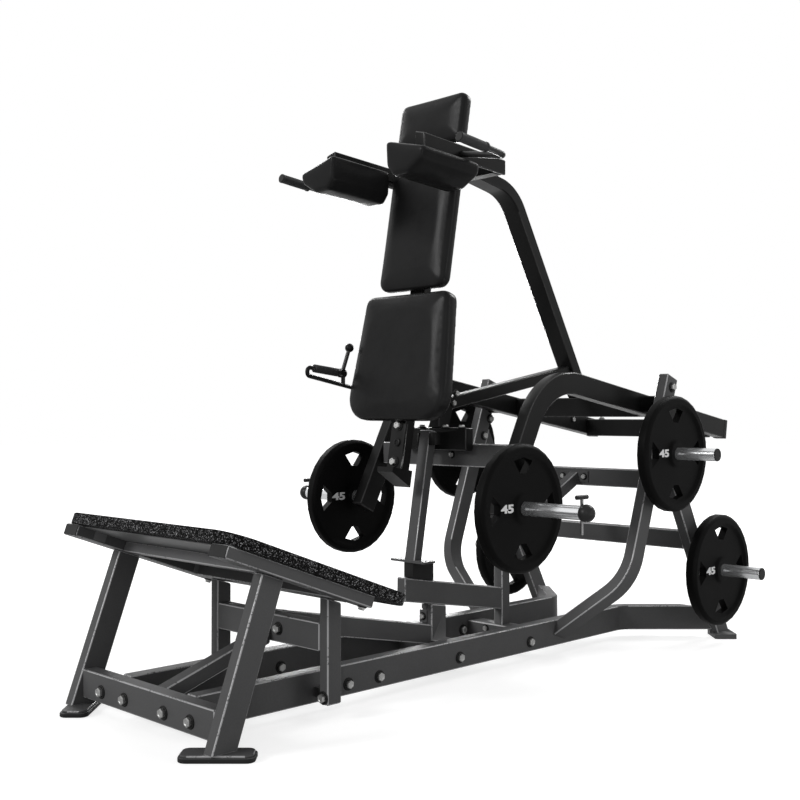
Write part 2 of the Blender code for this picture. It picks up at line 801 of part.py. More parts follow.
# Curved uprights with the pivot pins
rail_out = RAIL_X + RAIL_W / 2
up_in = UP_X - UP_W / 2
up_out = UP_X + UP_W / 2
low = math.radians(UP_LOW_DEG)
for side, sign in SIDES:
    run = UP_X - rail_out + 0.10
    path = [Vector((UP_X - run, UP_BEND_Z - run * math.tan(low))), Vector((UP_X, UP_BEND_Z)),
            Vector((UP_X, UP_TOP + UP_D))]
    outline = ribbon(fillet_path(path, UP_BEND_R, 8), UP_W / 2)
    bm = prism_bm(outline, "y", 0.0, UP_D)
    slice_off(bm, Vector((rail_out + GAP, 0, 0)), Vector((-1, 0, 0)))
    square = 1.0 / (1.0 + UP_LEAN * UP_LEAN)
    for vert in bm.verts:
        deep = vert.co.y * square
        vert.co.y = upright_front(vert.co.z) + deep
        vert.co.z -= deep * UP_LEAN
    slice_off(bm, Vector((0, upright_front(UP_TOP), UP_TOP)), Vector((0, UP_LEAN, 1)).normalized())
    soften(bm, EDGE)
    hub_end = ARM_X + ARM_W / 2 + HUB_WALL_IN
    pin = cylinder_bm(PIN_R, (hub_end, PIVOT_Y, PIVOT_Z), (UP_X, PIVOT_Y, PIVOT_Z))
    head = cylinder_bm(PIN_HEAD_R, (UP_X, PIVOT_Y, PIVOT_Z), (up_out + PIN_HEAD_T, PIVOT_Y, PIVOT_Z), 6)
    bm = combine(bm, [pin, head], "UNION")
    finish("upright_" + side, mirror(bm, sign), frame_grey)

# Rear struts, each with its foot plate
for side, sign in SIDES:
    bm = prism_bm([(strut_front(0.0), 0.0), (strut_front(0.0) + STRUT_D, 0.0),
                   (strut_front(1.2) + STRUT_D, 1.2), (strut_front(1.2), 1.2)], "x", up_in, up_out)
    slice_off(bm, Vector((0, 0, BACK_FOOT_T * 0.5)), Vector((0, 0, -1)))
    up_back = Vector((0, upright_front(0.0) + UP_D + GAP * 1.1, 0.0))
    slice_off(bm, up_back, Vector((0, -1, UP_LEAN)).normalized())
    soften(bm, EDGE)
    turn = math.radians(135.0)
    corners = [(-BACK_FOOT_L / 2, -BACK_FOOT_W / 2), (BACK_FOOT_L / 2, -BACK_FOOT_W / 2),
               (BACK_FOOT_L / 2, BACK_FOOT_W / 2), (-BACK_FOOT_L / 2, BACK_FOOT_W / 2)]
    outline = []
    for p in rounded(corners, 0.008, 3):
        outline.append((UP_X + 0.018 + p.x * math.cos(turn) - p.y * math.sin(turn),
                        BACK_FOOT_Y + p.x * math.sin(turn) + p.y * math.cos(turn)))
    sole = prism_bm(outline, "z", 0.0, BACK_FOOT_T)
    bm = combine(bm, [sole], "UNION")
    finish("rear_strut_" + side, mirror(bm, sign), frame_grey)

for name, z in (("rear_bar_high", REAR_HIGH_Z), ("rear_bar_low", REAR_LOW_Z)):
    centre = strut_front(z + REAR_BAR_H / 2) + STRUT_D / 2
    bm = box_bm(-up_in + GAP, up_in - GAP, centre - REAR_BAR_D / 2, centre + REAR_BAR_D / 2,
                z, z + REAR_BAR_H)
    soften(bm, EDGE)
    finish(name, bm, frame_grey)

high_front = strut_front(REAR_HIGH_Z + REAR_BAR_H / 2) + STRUT_D / 2 - REAR_BAR_D / 2
post_back = STOP_POST_Y + STOP_POST_D
diag_drop = DIAG_H / math.cos(math.atan(DIAG_SLOPE))


def diag_low(y):
    return REAR_HIGH_Z + DIAG_RISE + DIAG_SLOPE * (y - high_front)


bm = prism_bm([(post_back - 0.05, diag_low(post_back - 0.05)),
               (high_front + 0.05, diag_low(high_front + 0.05)),
               (high_front + 0.05, diag_low(high_front + 0.05) + diag_drop),
               (post_back - 0.05, diag_low(post_back - 0.05) + diag_drop)], "x", -STOP_W / 2, STOP_W / 2)
slice_off(bm, Vector((0, post_back + GAP, 0)), Vector((0, -1, 0)))
slice_off(bm, Vector((0, high_front - GAP, 0)), Vector((0, 1, 0)))
soften(bm, EDGE)
finish("rear_brace", bm, frame_grey)


# Storage horns on the uprights and the struts
def store_horn(name, sign, y, z):
    profile = [(0.0, 0.0), (0.0, HORN_R), (STORE_END - STORE_CAP_L - up_out, HORN_R),
               (STORE_END - STORE_CAP_L - up_out, STORE_CAP_R), (STORE_END - up_out - 0.003, STORE_CAP_R),
               (STORE_END - up_out, STORE_CAP_R - 0.003), (STORE_END - up_out, 0.0)]
    profile = [(a + GAP if i < 2 else a, r) for i, (a, r) in enumerate(profile)]
    bm, rings = lathe_bm(profile, (up_out, y, z), (1, 0, 0), 24)
    skin(bm, rings, False)
    return finish(name, mirror(bm, sign), chromed, smooth=True)


high_y = upright_front(HIGH_Z) + UP_D / 2
low_y = strut_front(LOW_DISC_Z) + STRUT_D / 2
for side, sign in SIDES:
    store_horn("store_horn_high_" + side, sign, high_y, HIGH_Z)
    store_horn("store_horn_low_" + side, sign, low_y, LOW_DISC_Z)

# Carriage arms, bent at the front, with the pivot hubs
arm_lean = math.radians(ARM_LEAN_DEG)
arm_slope = math.radians(ARM_SLOPE_DEG)
lean_dir = Vector((math.sin(arm_lean), math.cos(arm_lean)))
slope_dir = Vector((math.cos(arm_slope), math.sin(arm_slope)))
arm_knee = Vector((HORN_Y, HORN_Z)) + lean_dir * (ARM_BEND_UP / math.cos(arm_lean))
arm_foot = Vector((HORN_Y, HORN_Z)) - lean_dir * ARM_LOW
arm_tail = arm_knee + slope_dir * ((ARM_END_Y - arm_knee.x) / slope_dir.x)
arm_in = ARM_X - ARM_W / 2
arm_out = ARM_X + ARM_W / 2
for side, sign in SIDES:
    outline = ribbon(fillet_path([arm_foot, arm_knee, arm_tail], ARM_BEND_R, 12), ARM_H / 2)
    bm = prism_bm(outline, "x", arm_in, arm_out)
    soften(bm, EDGE)
    hub = cylinder_bm(HUB_R, (arm_out - 0.010, PIVOT_Y, PIVOT_Z), (up_in - GAP, PIVOT_Y, PIVOT_Z))
    bm = combine(bm, [hub], "UNION")
    bore = cylinder_bm(PIN_R + PIN_CLEAR, (arm_out + HUB_WALL_IN - GAP, PIVOT_Y, PIVOT_Z),
                       (up_in + 0.05, PIVOT_Y, PIVOT_Z))
    bm = combine(bm, [bore], "DIFFERENCE")
    finish("arm_" + side, mirror(bm, sign), satin_black)

cross_beam_top = CROSS_BEAM_Z + CROSS_BEAM_H
bm = box_bm(-arm_in + GAP, arm_in - GAP, CROSS_BEAM_Y, CROSS_BEAM_Y + CROSS_BEAM_D,
            CROSS_BEAM_Z, cross_beam_top)
soften(bm, EDGE)
finish("cross_beam", bm, satin_black)

tail_mid = arm_knee.y + (TAIL_Y + TAIL_D / 2 - arm_knee.x) * math.tan(arm_slope) - TAIL_DROP
bm = box_bm(-arm_in + GAP, arm_in - GAP, TAIL_Y, TAIL_Y + TAIL_D,
            tail_mid - TAIL_H / 2, tail_mid + TAIL_H / 2)
soften(bm, EDGE)
finish("tail_bar", bm, satin_black)

bm = box_bm(-arm_in + GAP, arm_in - GAP, LOW_Y, LOW_Y + LOW_D, LOW_Z, LOW_Z + LOW_H)
soften(bm, EDGE)
finish("carriage_bar", bm, frame_grey)

# Hinge box for the stop leg, with two ears
box_z = PROP_HINGE_Z - BOX_H / 2
bm = box_bm(-BOX_HALF, BOX_HALF, LOW_Y - GAP - BOX_D, LOW_Y - GAP, box_z, box_z + BOX_H)
soften(bm, EDGE)
box_front = LOW_Y - GAP - BOX_D
ears = []
for sign in (-1, 1):
    inner = PROP_W / 2 + GAP
    x0, x1 = sorted((sign * inner, sign * (inner + PROP_EAR_T)))
    ears.append(box_bm(x0, x1, PROP_HINGE_Y - PROP_EAR_R, box_front + 0.01,
                       PROP_HINGE_Z - PROP_EAR_R, PROP_HINGE_Z + PROP_EAR_R))
ears.append(cylinder_bm(PROP_PIN_R, (-PROP_W / 2 - PROP_EAR_T, PROP_HINGE_Y, PROP_HINGE_Z),
                        (PROP_W / 2 + PROP_EAR_T, PROP_HINGE_Y, PROP_HINGE_Z), 20))
bm = combine(bm, ears, "UNION")
finish("hinge_box", bm, satin_black)

# Centre beam from the drop link to the yoke
rise = math.tan(math.radians(BEAM_SLOPE_DEG))
spar_lean = math.radians(PAD_DEG)
spar_dir = Vector((0, math.sin(spar_lean), math.cos(spar_lean)))
spar_back = Vector((0, math.cos(spar_lean), -math.sin(spar_lean)))
spar_face = Vector((0, PAD_Y, PAD_Z))


def beam_top(y):
    return BEAM_TOP_AT + rise * (y - DROP_Y)


yoke_lean = math.radians(YOKE_LEAN_DEG)
yoke_dir = Vector((-math.sin(yoke_lean), math.cos(yoke_lean)))
beam_drop = BEAM_H / math.cos(math.radians(BEAM_SLOPE_DEG))
bm = prism_bm([(0.0, beam_top(0.0)), (PIVOT_Y + 0.02, beam_top(PIVOT_Y + 0.02)),
               (PIVOT_Y + 0.02, beam_top(PIVOT_Y + 0.02) - beam_drop),
               (DROP_Y + DROP_D, beam_top(DROP_Y + DROP_D) - beam_drop),
               (DROP_Y + DROP_D * 0.72, box_z + BOX_H + GAP),
               (DROP_Y, box_z + BOX_H + GAP),
               (DROP_Y, beam_top(DROP_Y) - beam_drop),
               (0.0, beam_top(0.0) - beam_drop)], "x", -BEAM_W / 2, BEAM_W / 2)
slice_off(bm, Vector((0, PAD_Y, PAD_Z)) + spar_back * (SPAR_D + GAP), -spar_back)
soften(bm, EDGE)

# The yoke rises from the cross beam, bends forward and carries the shoulder arms
yoke_knee = Vector((YOKE_TOP_Y, YOKE_TOP_Z))
yoke_start = yoke_knee - yoke_dir * ((YOKE_TOP_Z - CROSS_BEAM_Z) / yoke_dir.y)
front_dir = Vector((-math.cos(spar_lean), math.sin(spar_lean)))
yoke_end = yoke_knee + front_dir * (YOKE_TOP_Y / front_dir.x * -1.0)
outline = ribbon(fillet_path([yoke_start, yoke_knee, yoke_end], YOKE_R, 10), YOKE_D / 2)
yoke = prism_bm(outline, "x", -YOKE_W / 2, YOKE_W / 2)
slice_off(yoke, Vector((0, 0, cross_beam_top + GAP)), Vector((0, 0, -1)))
slice_off(yoke, Vector((0, PAD_Y, PAD_Z)) + spar_back * (SPAR_D + GAP), -spar_back)
soften(yoke, EDGE)
yoke_front = Vector((0, -math.cos(yoke_lean), -math.sin(yoke_lean)))
yoke_face = Vector((0, yoke_start.x, yoke_start.y)) + yoke_front * (YOKE_D / 2 + GAP)
slice_off(bm, yoke_face, Vector((0, math.cos(yoke_lean), math.sin(yoke_lean))))
finish("centre_beam", bm, satin_black)

sho_slope = math.tan(math.radians(SHO_SLOPE_DEG))


def sho_z(y, base):
    return base + sho_slope * (y - SHO_ARM_Y)


parts = []
for sign in (-1, 1):
    x0, x1 = sorted((sign * (SHO_ARM_X - SHO_ARM_W / 2), sign * (SHO_ARM_X + SHO_ARM_W / 2)))
    out_top = SHO_ARM_Z
    in_top = SHO_ARM_Z + SHO_TILT * SHO_ARM_W
    inner, outer = (x1, x0) if sign < 0 else (x0, x1)
    arm = prism_bm([(inner, in_top), (outer, out_top),
                    (outer, out_top - SHO_ARM_H), (inner, in_top - SHO_ARM_H)],
                   "y", SHO_ARM_Y, SHO_ARM_END)
    for vert in arm.verts:
        vert.co.z += sho_slope * (vert.co.y - SHO_ARM_Y)
    soften(arm, EDGE)
    parts.append(arm)
bar = box_bm(-SHO_ARM_X, SHO_ARM_X, SHO_ARM_END - SHO_BAR_D, SHO_ARM_END - 0.001,
             SHO_BAR_Z, SHO_BAR_Z + SHO_BAR_H)
parts.append(bar)
yoke = combine(yoke, parts, "UNION")
finish("yoke", yoke, satin_black)


def on_spar(x, along, depth):
    """A point on the spar: across, up along its front face, and forward of that face."""
    return spar_face + Vector((x, 0, 0)) + spar_dir * along - spar_back * depth


def spar_box(x0, x1, a0, a1, d0, d1):
    bm = bmesh.new()
    verts = [bm.verts.new(on_spar(x, a, d)) for d in (d0, d1) for a in (a0, a1) for x in (x0, x1)]
    for quad in ((0, 1, 3, 2), (4, 6, 7, 5), (0, 4, 5, 1), (2, 3, 7, 6), (0, 2, 6, 4), (1, 5, 7, 3)):
        bm.faces.new([verts[i] for i in quad])
    bmesh.ops.recalc_face_normals(bm, faces=bm.faces)
    return bm


# Pad spar with the wider bracket at its foot
bm = spar_box(-SPAR_W / 2, SPAR_W / 2, -SPAR_FOOT + 0.03, SPAR_HEAD, -SPAR_D, 0.0)
soften(bm, EDGE)
lug = spar_box(-SPAR_BOX_W / 2, SPAR_BOX_W / 2, -SPAR_FOOT, -SPAR_FOOT + SPAR_BOX_H,
               -SPAR_D, SPAR_BOX_D - SPAR_D)
lug_turn = math.radians(SPAR_BOX_DEG)
lug_cut = Vector((0, -math.sin(lug_turn), -math.cos(lug_turn)))
slice_off(lug, on_spar(0, -SPAR_FOOT + SPAR_BOX_H - 0.018, SPAR_BOX_D - SPAR_D), lug_cut)
plate = spar_box(-SPAR_PLATE_W / 2, SPAR_PLATE_W / 2, -SPAR_FOOT + SPAR_BOX_H * 0.6, LOW_PAD_AT - 0.006,
                 -0.004, SPAR_PLATE_T)
bm = combine(bm, [lug, plate], "UNION")
finish("pad_spar", bm, satin_black)

# Back and head cushions
lower = [(-LOW_PAD_BASE, LOW_PAD_AT), (LOW_PAD_BASE, LOW_PAD_AT),
         (LOW_PAD_TOP, LOW_PAD_AT + LOW_PAD_H), (-LOW_PAD_TOP, LOW_PAD_AT + LOW_PAD_H)]


def pad_place(x, along, depth):
    return on_spar(x, along, depth + GAP)


low_radii = (LOW_PAD_R, LOW_PAD_R, LOW_PAD_TOP_R, LOW_PAD_TOP_R)
cushion("lower_pad", lower, low_radii, LOW_PAD_T, CUSHION_CROWN, 0.020, pad_place, vinyl)
middle = [(-MID_PAD_HALF, MID_PAD_AT), (MID_PAD_HALF, MID_PAD_AT),
          (MID_PAD_HALF, MID_PAD_AT + MID_PAD_H), (-MID_PAD_HALF, MID_PAD_AT + MID_PAD_H)]
cushion("back_pad", middle, MID_PAD_R, CUSHION_T, CUSHION_CROWN, 0.020, pad_place, vinyl)
top = [(-TOP_PAD_HALF, TOP_PAD_AT), (TOP_PAD_HALF, TOP_PAD_AT),
       (TOP_PAD_HALF, TOP_PAD_AT + TOP_PAD_H), (-TOP_PAD_HALF, TOP_PAD_AT + TOP_PAD_H)]
cushion("head_pad", top, TOP_PAD_R, CUSHION_T, CUSHION_CROWN, 0.018, pad_place, vinyl)

# Shoulder cushions: long rolls under the shoulder arms, sloped down to the outside
for side, sign in SIDES:
    wide = SHO_PAD_OUT - SHO_PAD_IN
    roll = SHO_TILT * wide
    corners = [(SHO_PAD_IN, 0.0), (SHO_PAD_OUT, -roll),
               (SHO_PAD_OUT - wide * 0.05, -roll - SHO_PAD_H * 0.32),
               (SHO_PAD_IN + wide * 0.58, -SHO_PAD_H), (SHO_PAD_IN + wide * 0.18, -SHO_PAD_H),
               (SHO_PAD_IN + wide * 0.03, -SHO_PAD_H * 0.72)]
    corners = list(reversed(corners))
    pad_top = SHO_ARM_Z + SHO_TILT * (SHO_ARM_X + SHO_ARM_W / 2 - SHO_PAD_IN) - SHO_ARM_H - GAP * 2
    pad_top += sho_slope * (SHO_PAD_Y - SHO_ARM_Y)
    rings = [(0.012, 0.0), (0.004, 0.004), (0.0, 0.013)]
    rings += [(0.0, SHO_PAD_L - 0.013), (0.004, SHO_PAD_L - 0.004), (0.012, SHO_PAD_L)]
    bm = bmesh.new()
    loops = []
    for inset, along in rings:
        ring = []
        for p in rounded(corners, 0.014, 3, inset):
            y = SHO_PAD_Y + along
            ring.append(bm.verts.new((p.x, y, pad_top + p.y + sho_slope * along)))
        loops.append(ring)
    count = len(loops[0])
    for a, b in zip(loops, loops[1:]):
        for i in range(count):
            j = (i + 1) % count
            bm.faces.new((a[i], a[j], b[j], b[i]))
    bm.faces.new(list(reversed(loops[0])))
    bm.faces.new(loops[-1])
    bmesh.ops.recalc_face_normals(bm, faces=bm.faces)
    finish("shoulder_pad_" + side, mirror(bm, sign), vinyl, smooth=True)

# Grip bars outside the shoulder pads
for side, sign in SIDES:
    base_z = sho_z(GRIP_BACK, SHO_ARM_Z) - SHO_ARM_H / 2
    points = [Vector((SHO_ARM_X, GRIP_BACK, base_z)),
              Vector((GRIP_X, GRIP_BACK, GRIP_Z - GRIP_FALL)), Vector((GRIP_X, GRIP_Y + 0.01, GRIP_Z))]
    path = fillet_path(points, 0.030, 6)
    bm = pipe_bm(path, GRIP_BAR_R, 16)
    slice_off(bm, Vector((SHO_ARM_X + SHO_ARM_W / 2 + GAP, 0, 0)), Vector((-1, 0, 0)))
    along = (points[2] - points[1]).normalized()
    tip = Vector((GRIP_X, GRIP_Y, GRIP_Z))
    sleeve = cylinder_bm(GRIP_R, tip, tip - along * GRIP_L, 24)
    bm = combine(bm, [sleeve], "UNION")
    finish("grip_" + side, mirror(bm, sign), satin_black)

# Loading horns with ball ends, and the lock pins through them
for side, sign in SIDES:
    length = HORN_END - arm_out
    start = math.asin(HORN_R / BALL_R)
    profile = [(GAP, 0.0), (GAP, HORN_R)]
    for k in range(8):
        ang = start + (math.pi - start) * k / 7
        profile.append((length - BALL_R * math.cos(ang), BALL_R * math.sin(ang) if k < 7 else 0.0))
    bm, rings = lathe_bm(profile, (arm_out, HORN_Y, HORN_Z), (1, 0, 0), 24)
    skin(bm, rings, False)
    hole = cylinder_bm(LOCK_R + GAP, (LOCK_X, HORN_Y, HORN_Z - 0.1), (LOCK_X, HORN_Y, HORN_Z + 0.1), 20)
    bm = combine(bm, [hole], "DIFFERENCE")
    finish("load_horn_" + side, mirror(bm, sign), chromed, smooth=True)
    shaft = cylinder_bm(LOCK_R, (LOCK_X, HORN_Y, HORN_Z - LOCK_BOTTOM),
                        (LOCK_X, HORN_Y, HORN_Z + LOCK_TOP), 20)
    bar = cylinder_bm(LOCK_BAR_R, (LOCK_X, HORN_Y - LOCK_BAR_L / 2, HORN_Z + LOCK_TOP),
                      (LOCK_X, HORN_Y + LOCK_BAR_L / 2, HORN_Z + LOCK_TOP), 16)
    bm = combine(shaft, [bar], "UNION")
    finish("lock_pin_" + side, mirror(bm, sign), chromed, smooth=True)


# Discs with four grip windows
def disc(name, x, y, z, sign):
    bore = HORN_R + DISC_BORE_CLEAR
    face = DISC_T / 2
    web = DISC_WEB_T / 2
    side = [(face, bore + 0.0012), (face, DISC_HUB_R), (web, DISC_HUB_R + 0.008), (web, DISC_RIM_IN - 0.010),
            (face, DISC_RIM_IN), (face, DISC_R - 0.007), (face - 0.005, DISC_R)]
    profile = side + [(-a, r) for a, r in reversed(side)]
    profile = [(-face + 0.0012, bore), (face - 0.0012, bore)] + profile
    bm, rings = lathe_bm(profile, (x, y, z), (1, 0, 0), 32)
    skin(bm, rings, True)
    cutters = []
    for k in range(4):
        mid = math.radians(90.0 * k)
        spread = math.radians(17.0)
        out_r = 0.172
        in_r = 0.122
        pts = []
        for ang, rad in ((mid - spread, out_r), (mid, out_r + 0.006), (mid + spread, out_r),
                         (mid + spread * 0.45, in_r), (mid - spread * 0.45, in_r)):
            pts.append((y + rad * math.sin(ang), z + rad * math.cos(ang)))
        cutters.append(prism_bm(pts, "x", x - DISC_T, x + DISC_T))
    bm = combine(bm, cutters, "DIFFERENCE")
    finish(name, mirror(bm, sign), urethane)


for side, sign in SIDES:
    disc("disc_load_" + side, DISC_X, HORN_Y, HORN_Z, sign)
    disc("disc_high_" + side, STORE_DISC_X, high_y, HIGH_Z, sign)
    disc("disc_low_" + side, STORE_DISC_X, low_y, LOW_DISC_Z, sign)

# Stop leg that props the carriage on the bumper
prop_dir = Vector((0, math.sin(spar_lean), math.cos(spar_lean)))
prop_back = Vector((0, math.cos(spar_lean), -math.sin(spar_lean)))
hinge = Vector((0, PROP_HINGE_Y, PROP_HINGE_Z))
foot_z = BUMP_TOP + GAP
bm = bmesh.new()
quads = []
for d in (-PROP_D / 2, PROP_D / 2):
    for a in (-0.6, PROP_TOP):
        for x in (-PROP_W / 2, PROP_W / 2):
            quads.append(bm.verts.new(hinge + Vector((x, 0, 0)) + prop_dir * a + prop_back * d))
for quad in ((0, 1, 3, 2), (4, 6, 7, 5), (0, 4, 5, 1), (2, 3, 7, 6), (0, 2, 6, 4), (1, 5, 7, 3)):
    bm.faces.new([quads[i] for i in quad])
bmesh.ops.recalc_face_normals(bm, faces=bm.faces)
slice_off(bm, Vector((0, 0, foot_z + PROP_FOOT_T * 0.5)), Vector((0, 0, -1)))
soften(bm, 0.003)
foot_mid = hinge.y - (hinge.z - foot_z) * math.tan(spar_lean)
sole = box_bm(-PROP_FOOT_W / 2, PROP_FOOT_W / 2, foot_mid - PROP_FOOT_D / 2, foot_mid + PROP_FOOT_D / 2,
              foot_z, foot_z + PROP_FOOT_T)
bm = combine(bm, [sole], "UNION")
hole = cylinder_bm(PROP_PIN_R + GAP, (-0.1, PROP_HINGE_Y, PROP_HINGE_Z),
                   (0.1, PROP_HINGE_Y, PROP_HINGE_Z), 20)
bm = combine(bm, [hole], "DIFFERENCE")
finish("stop_leg", bm, frame_grey)

# Side handle on a bracket behind the lower cushion
bracket = box_bm(SIDE_X - SIDE_R, -SPAR_W / 2 - GAP, SIDE_Y, SIDE_Y + SIDE_BAR_T,
                 SIDE_Z, SIDE_Z + SIDE_BAR_H)
soften(bracket, 0.003)
low_end = SIDE_Z + SIDE_BAR_H / 2
low_tip = low_end + SIDE_RISE
high_tip = low_tip + SIDE_TIP
high_end = high_tip - SIDE_FALL
points = [Vector((SIDE_X, SIDE_Y + SIDE_BAR_T / 2, low_end)),
          Vector((SIDE_X, SIDE_Y - SIDE_REACH, low_tip)),
          Vector((SIDE_X, SIDE_Y - SIDE_REACH, high_tip)),
          Vector((SIDE_X, SIDE_Y - SIDE_LINK, high_end)),
          Vector((SIDE_X, SIDE_Y - SIDE_LINK, high_end - (SIDE_TIP + SIDE_FALL) * 0.9))]
handle = pipe_bm(fillet_path(points, SIDE_BEND, 5), SIDE_R, 14)
upper = (points[2] - points[3]).normalized()
grip_at = points[3] - upper * SIDE_GRIP_AT
sleeve = cylinder_bm(SIDE_GRIP_R, grip_at, grip_at + upper * SIDE_GRIP_L, 24)
lever_z = high_end + SIDE_FALL * (SIDE_Y - SIDE_LINK - LEVER_Y) / (SIDE_REACH - SIDE_LINK)
lever_at = Vector((SIDE_X, LEVER_Y, lever_z))
boss_end = SIDE_X + SIDE_GRIP_R + 0.003
boss = cylinder_bm(LEVER_PIN_R * 2, lever_at, (boss_end, lever_at.y, lever_at.z), 20)
pin = cylinder_bm(LEVER_PIN_R, lever_at, (boss_end + GAP + LEVER_HUB_T, lever_at.y, lever_at.z), 20)
bm = combine(bracket, [handle, sleeve, boss, pin], "UNION")
finish("side_handle", bm, satin_black)

hub0 = boss_end + GAP
hub = cylinder_bm(LEVER_HUB_R, (hub0, lever_at.y, lever_at.z),
                  (hub0 + LEVER_HUB_T, lever_at.y, lever_at.z), 24)
mid = Vector((hub0 + LEVER_HUB_T / 2, lever_at.y, lever_at.z))
tilt = math.radians(LEVER_LEAN_DEG)
reach = Vector((0, math.sin(tilt), math.cos(tilt)))
rod = cylinder_bm(LEVER_R, mid + reach * (LEVER_HUB_R * 0.6), mid + reach * LEVER_L, 16)
ball_profile = []
for k in range(9):
    ang = math.pi * k / 8
    ball_profile.append((-LEVER_BALL_R * math.cos(ang), LEVER_BALL_R * math.sin(ang) if 0 < k < 8 else 0.0))
ball, rings = lathe_bm(ball_profile, mid + reach * LEVER_L, reach, 20)
skin(ball, rings, False)
bm = combine(hub, [rod, ball], "UNION")
hole = cylinder_bm(LEVER_PIN_R + GAP, (hub0 - 0.01, lever_at.y, lever_at.z),
                   (hub0 + LEVER_HUB_T + 0.01, lever_at.y, lever_at.z), 20)
bm = combine(bm, [hole], "DIFFERENCE")
lever = finish("release_lever", bm, satin_black)

# Bring the middle of the footprint to the origin
low_pt = Vector((1e9, 1e9, 1e9))
high_pt = -low_pt
for obj in ALL:
    for vert in obj.data.vertices:
        for i in range(3):
            low_pt[i] = min(low_pt[i], vert.co[i])
            high_pt[i] = max(high_pt[i], vert.co[i])
shift = Vector((-(low_pt.x + high_pt.x) / 2, -(low_pt.y + high_pt.y) / 2, -low_pt.z))
for obj in ALL:
    obj.data.transform(Matrix.Translation(shift))


def hang_on(names, point, label):
    """Give the pieces of one moving body an empty on its joint axis."""
    point = Vector(point) + shift
    empty = bpy.data.objects.new(label, None)
    empty.empty_display_size = 0.05
    empty.location = point
    bpy.context.scene.collection.objects.link(empty)
    for name in names:
        obj = bpy.data.objects[name]
        obj.data.transform(Matrix.Translation(-point))
        obj.parent = empty
    return empty


carriage = ["arm_left", "arm_right", "cross_beam", "tail_bar", "carriage_bar", "hinge_box", "centre_beam",
            "yoke",
            "pad_spar", "lower_pad", "back_pad", "head_pad", "shoulder_pad_left", "shoulder_pad_right",
            "grip_left", "grip_right", "load_horn_left", "load_horn_right", "side_handle"]
hang_on(carriage, (0, PIVOT_Y, PIVOT_Z), "axis_carriage")
hang_on(["stop_leg"], (0, PROP_HINGE_Y, PROP_HINGE_Z), "axis_stop_leg")
hang_on(["release_lever"], tuple(mid), "axis_lever")
for side, sign in SIDES:
    hang_on(["disc_load_" + side], (sign * DISC_X, HORN_Y, HORN_Z), "axis_disc_load_" + side)
    hang_on(["disc_high_" + side], (sign * STORE_DISC_X, high_y, HIGH_Z), "axis_disc_high_" + side)
    hang_on(["disc_low_" + side], (sign * STORE_DISC_X, low_y, LOW_DISC_Z), "axis_disc_low_" + side)
    hang_on(["lock_pin_" + side], (sign * LOCK_X, HORN_Y, HORN_Z), "axis_lock_pin_" + side)

bpy.context.view_layer.update()
print("shift", [round(v, 5) for v in shift])
print("size", [round(high_pt[i] - low_pt[i], 4) for i in range(3)])
print("pivot", round(PIVOT_Y + shift.y, 5), PIVOT_Z, "hinge", round(PROP_HINGE_Y + shift.y, 5), PROP_HINGE_Z)
print("lever", [round(v, 5) for v in mid + shift])
print("nodes", len(ALL), "triangles", sum(len(p.vertices) - 2 for o in ALL for p in o.data.polygons))
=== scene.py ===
import json
import math

import bpy
from bpy.props import FloatProperty
from bpy.props import FloatVectorProperty
from bpy.props import IntProperty
from bpy.props import PointerProperty
from mathutils import Matrix
from mathutils import Vector

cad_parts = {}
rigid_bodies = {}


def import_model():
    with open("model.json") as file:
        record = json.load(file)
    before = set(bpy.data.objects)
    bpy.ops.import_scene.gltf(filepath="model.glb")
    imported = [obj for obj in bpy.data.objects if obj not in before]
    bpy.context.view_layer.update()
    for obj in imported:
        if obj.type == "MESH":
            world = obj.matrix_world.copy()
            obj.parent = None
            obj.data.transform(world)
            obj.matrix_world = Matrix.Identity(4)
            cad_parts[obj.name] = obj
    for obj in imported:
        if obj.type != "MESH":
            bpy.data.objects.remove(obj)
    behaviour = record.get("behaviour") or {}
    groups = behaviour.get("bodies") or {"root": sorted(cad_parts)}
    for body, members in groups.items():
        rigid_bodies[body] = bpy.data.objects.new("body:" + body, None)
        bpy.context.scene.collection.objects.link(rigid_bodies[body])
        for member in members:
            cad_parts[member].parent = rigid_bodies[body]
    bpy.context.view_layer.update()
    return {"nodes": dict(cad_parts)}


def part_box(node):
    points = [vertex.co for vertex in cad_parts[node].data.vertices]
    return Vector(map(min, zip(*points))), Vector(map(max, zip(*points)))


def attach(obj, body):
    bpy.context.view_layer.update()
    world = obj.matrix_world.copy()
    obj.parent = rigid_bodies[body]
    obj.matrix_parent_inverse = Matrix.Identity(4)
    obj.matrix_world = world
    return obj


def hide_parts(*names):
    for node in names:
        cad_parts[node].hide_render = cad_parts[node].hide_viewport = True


bl_info = {
    "name": "V-Squat Machine",
    "version": (1, 0, 0),
    "blender": (4, 5, 0),
    "location": "View3D > Sidebar > V-Squat",
    "description": "Finishes, pads, discs and hardware for a plate-loaded V-squat machine",
    "category": "Add Mesh",
}

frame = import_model()

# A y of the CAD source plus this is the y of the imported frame
SHIFT = -0.27593

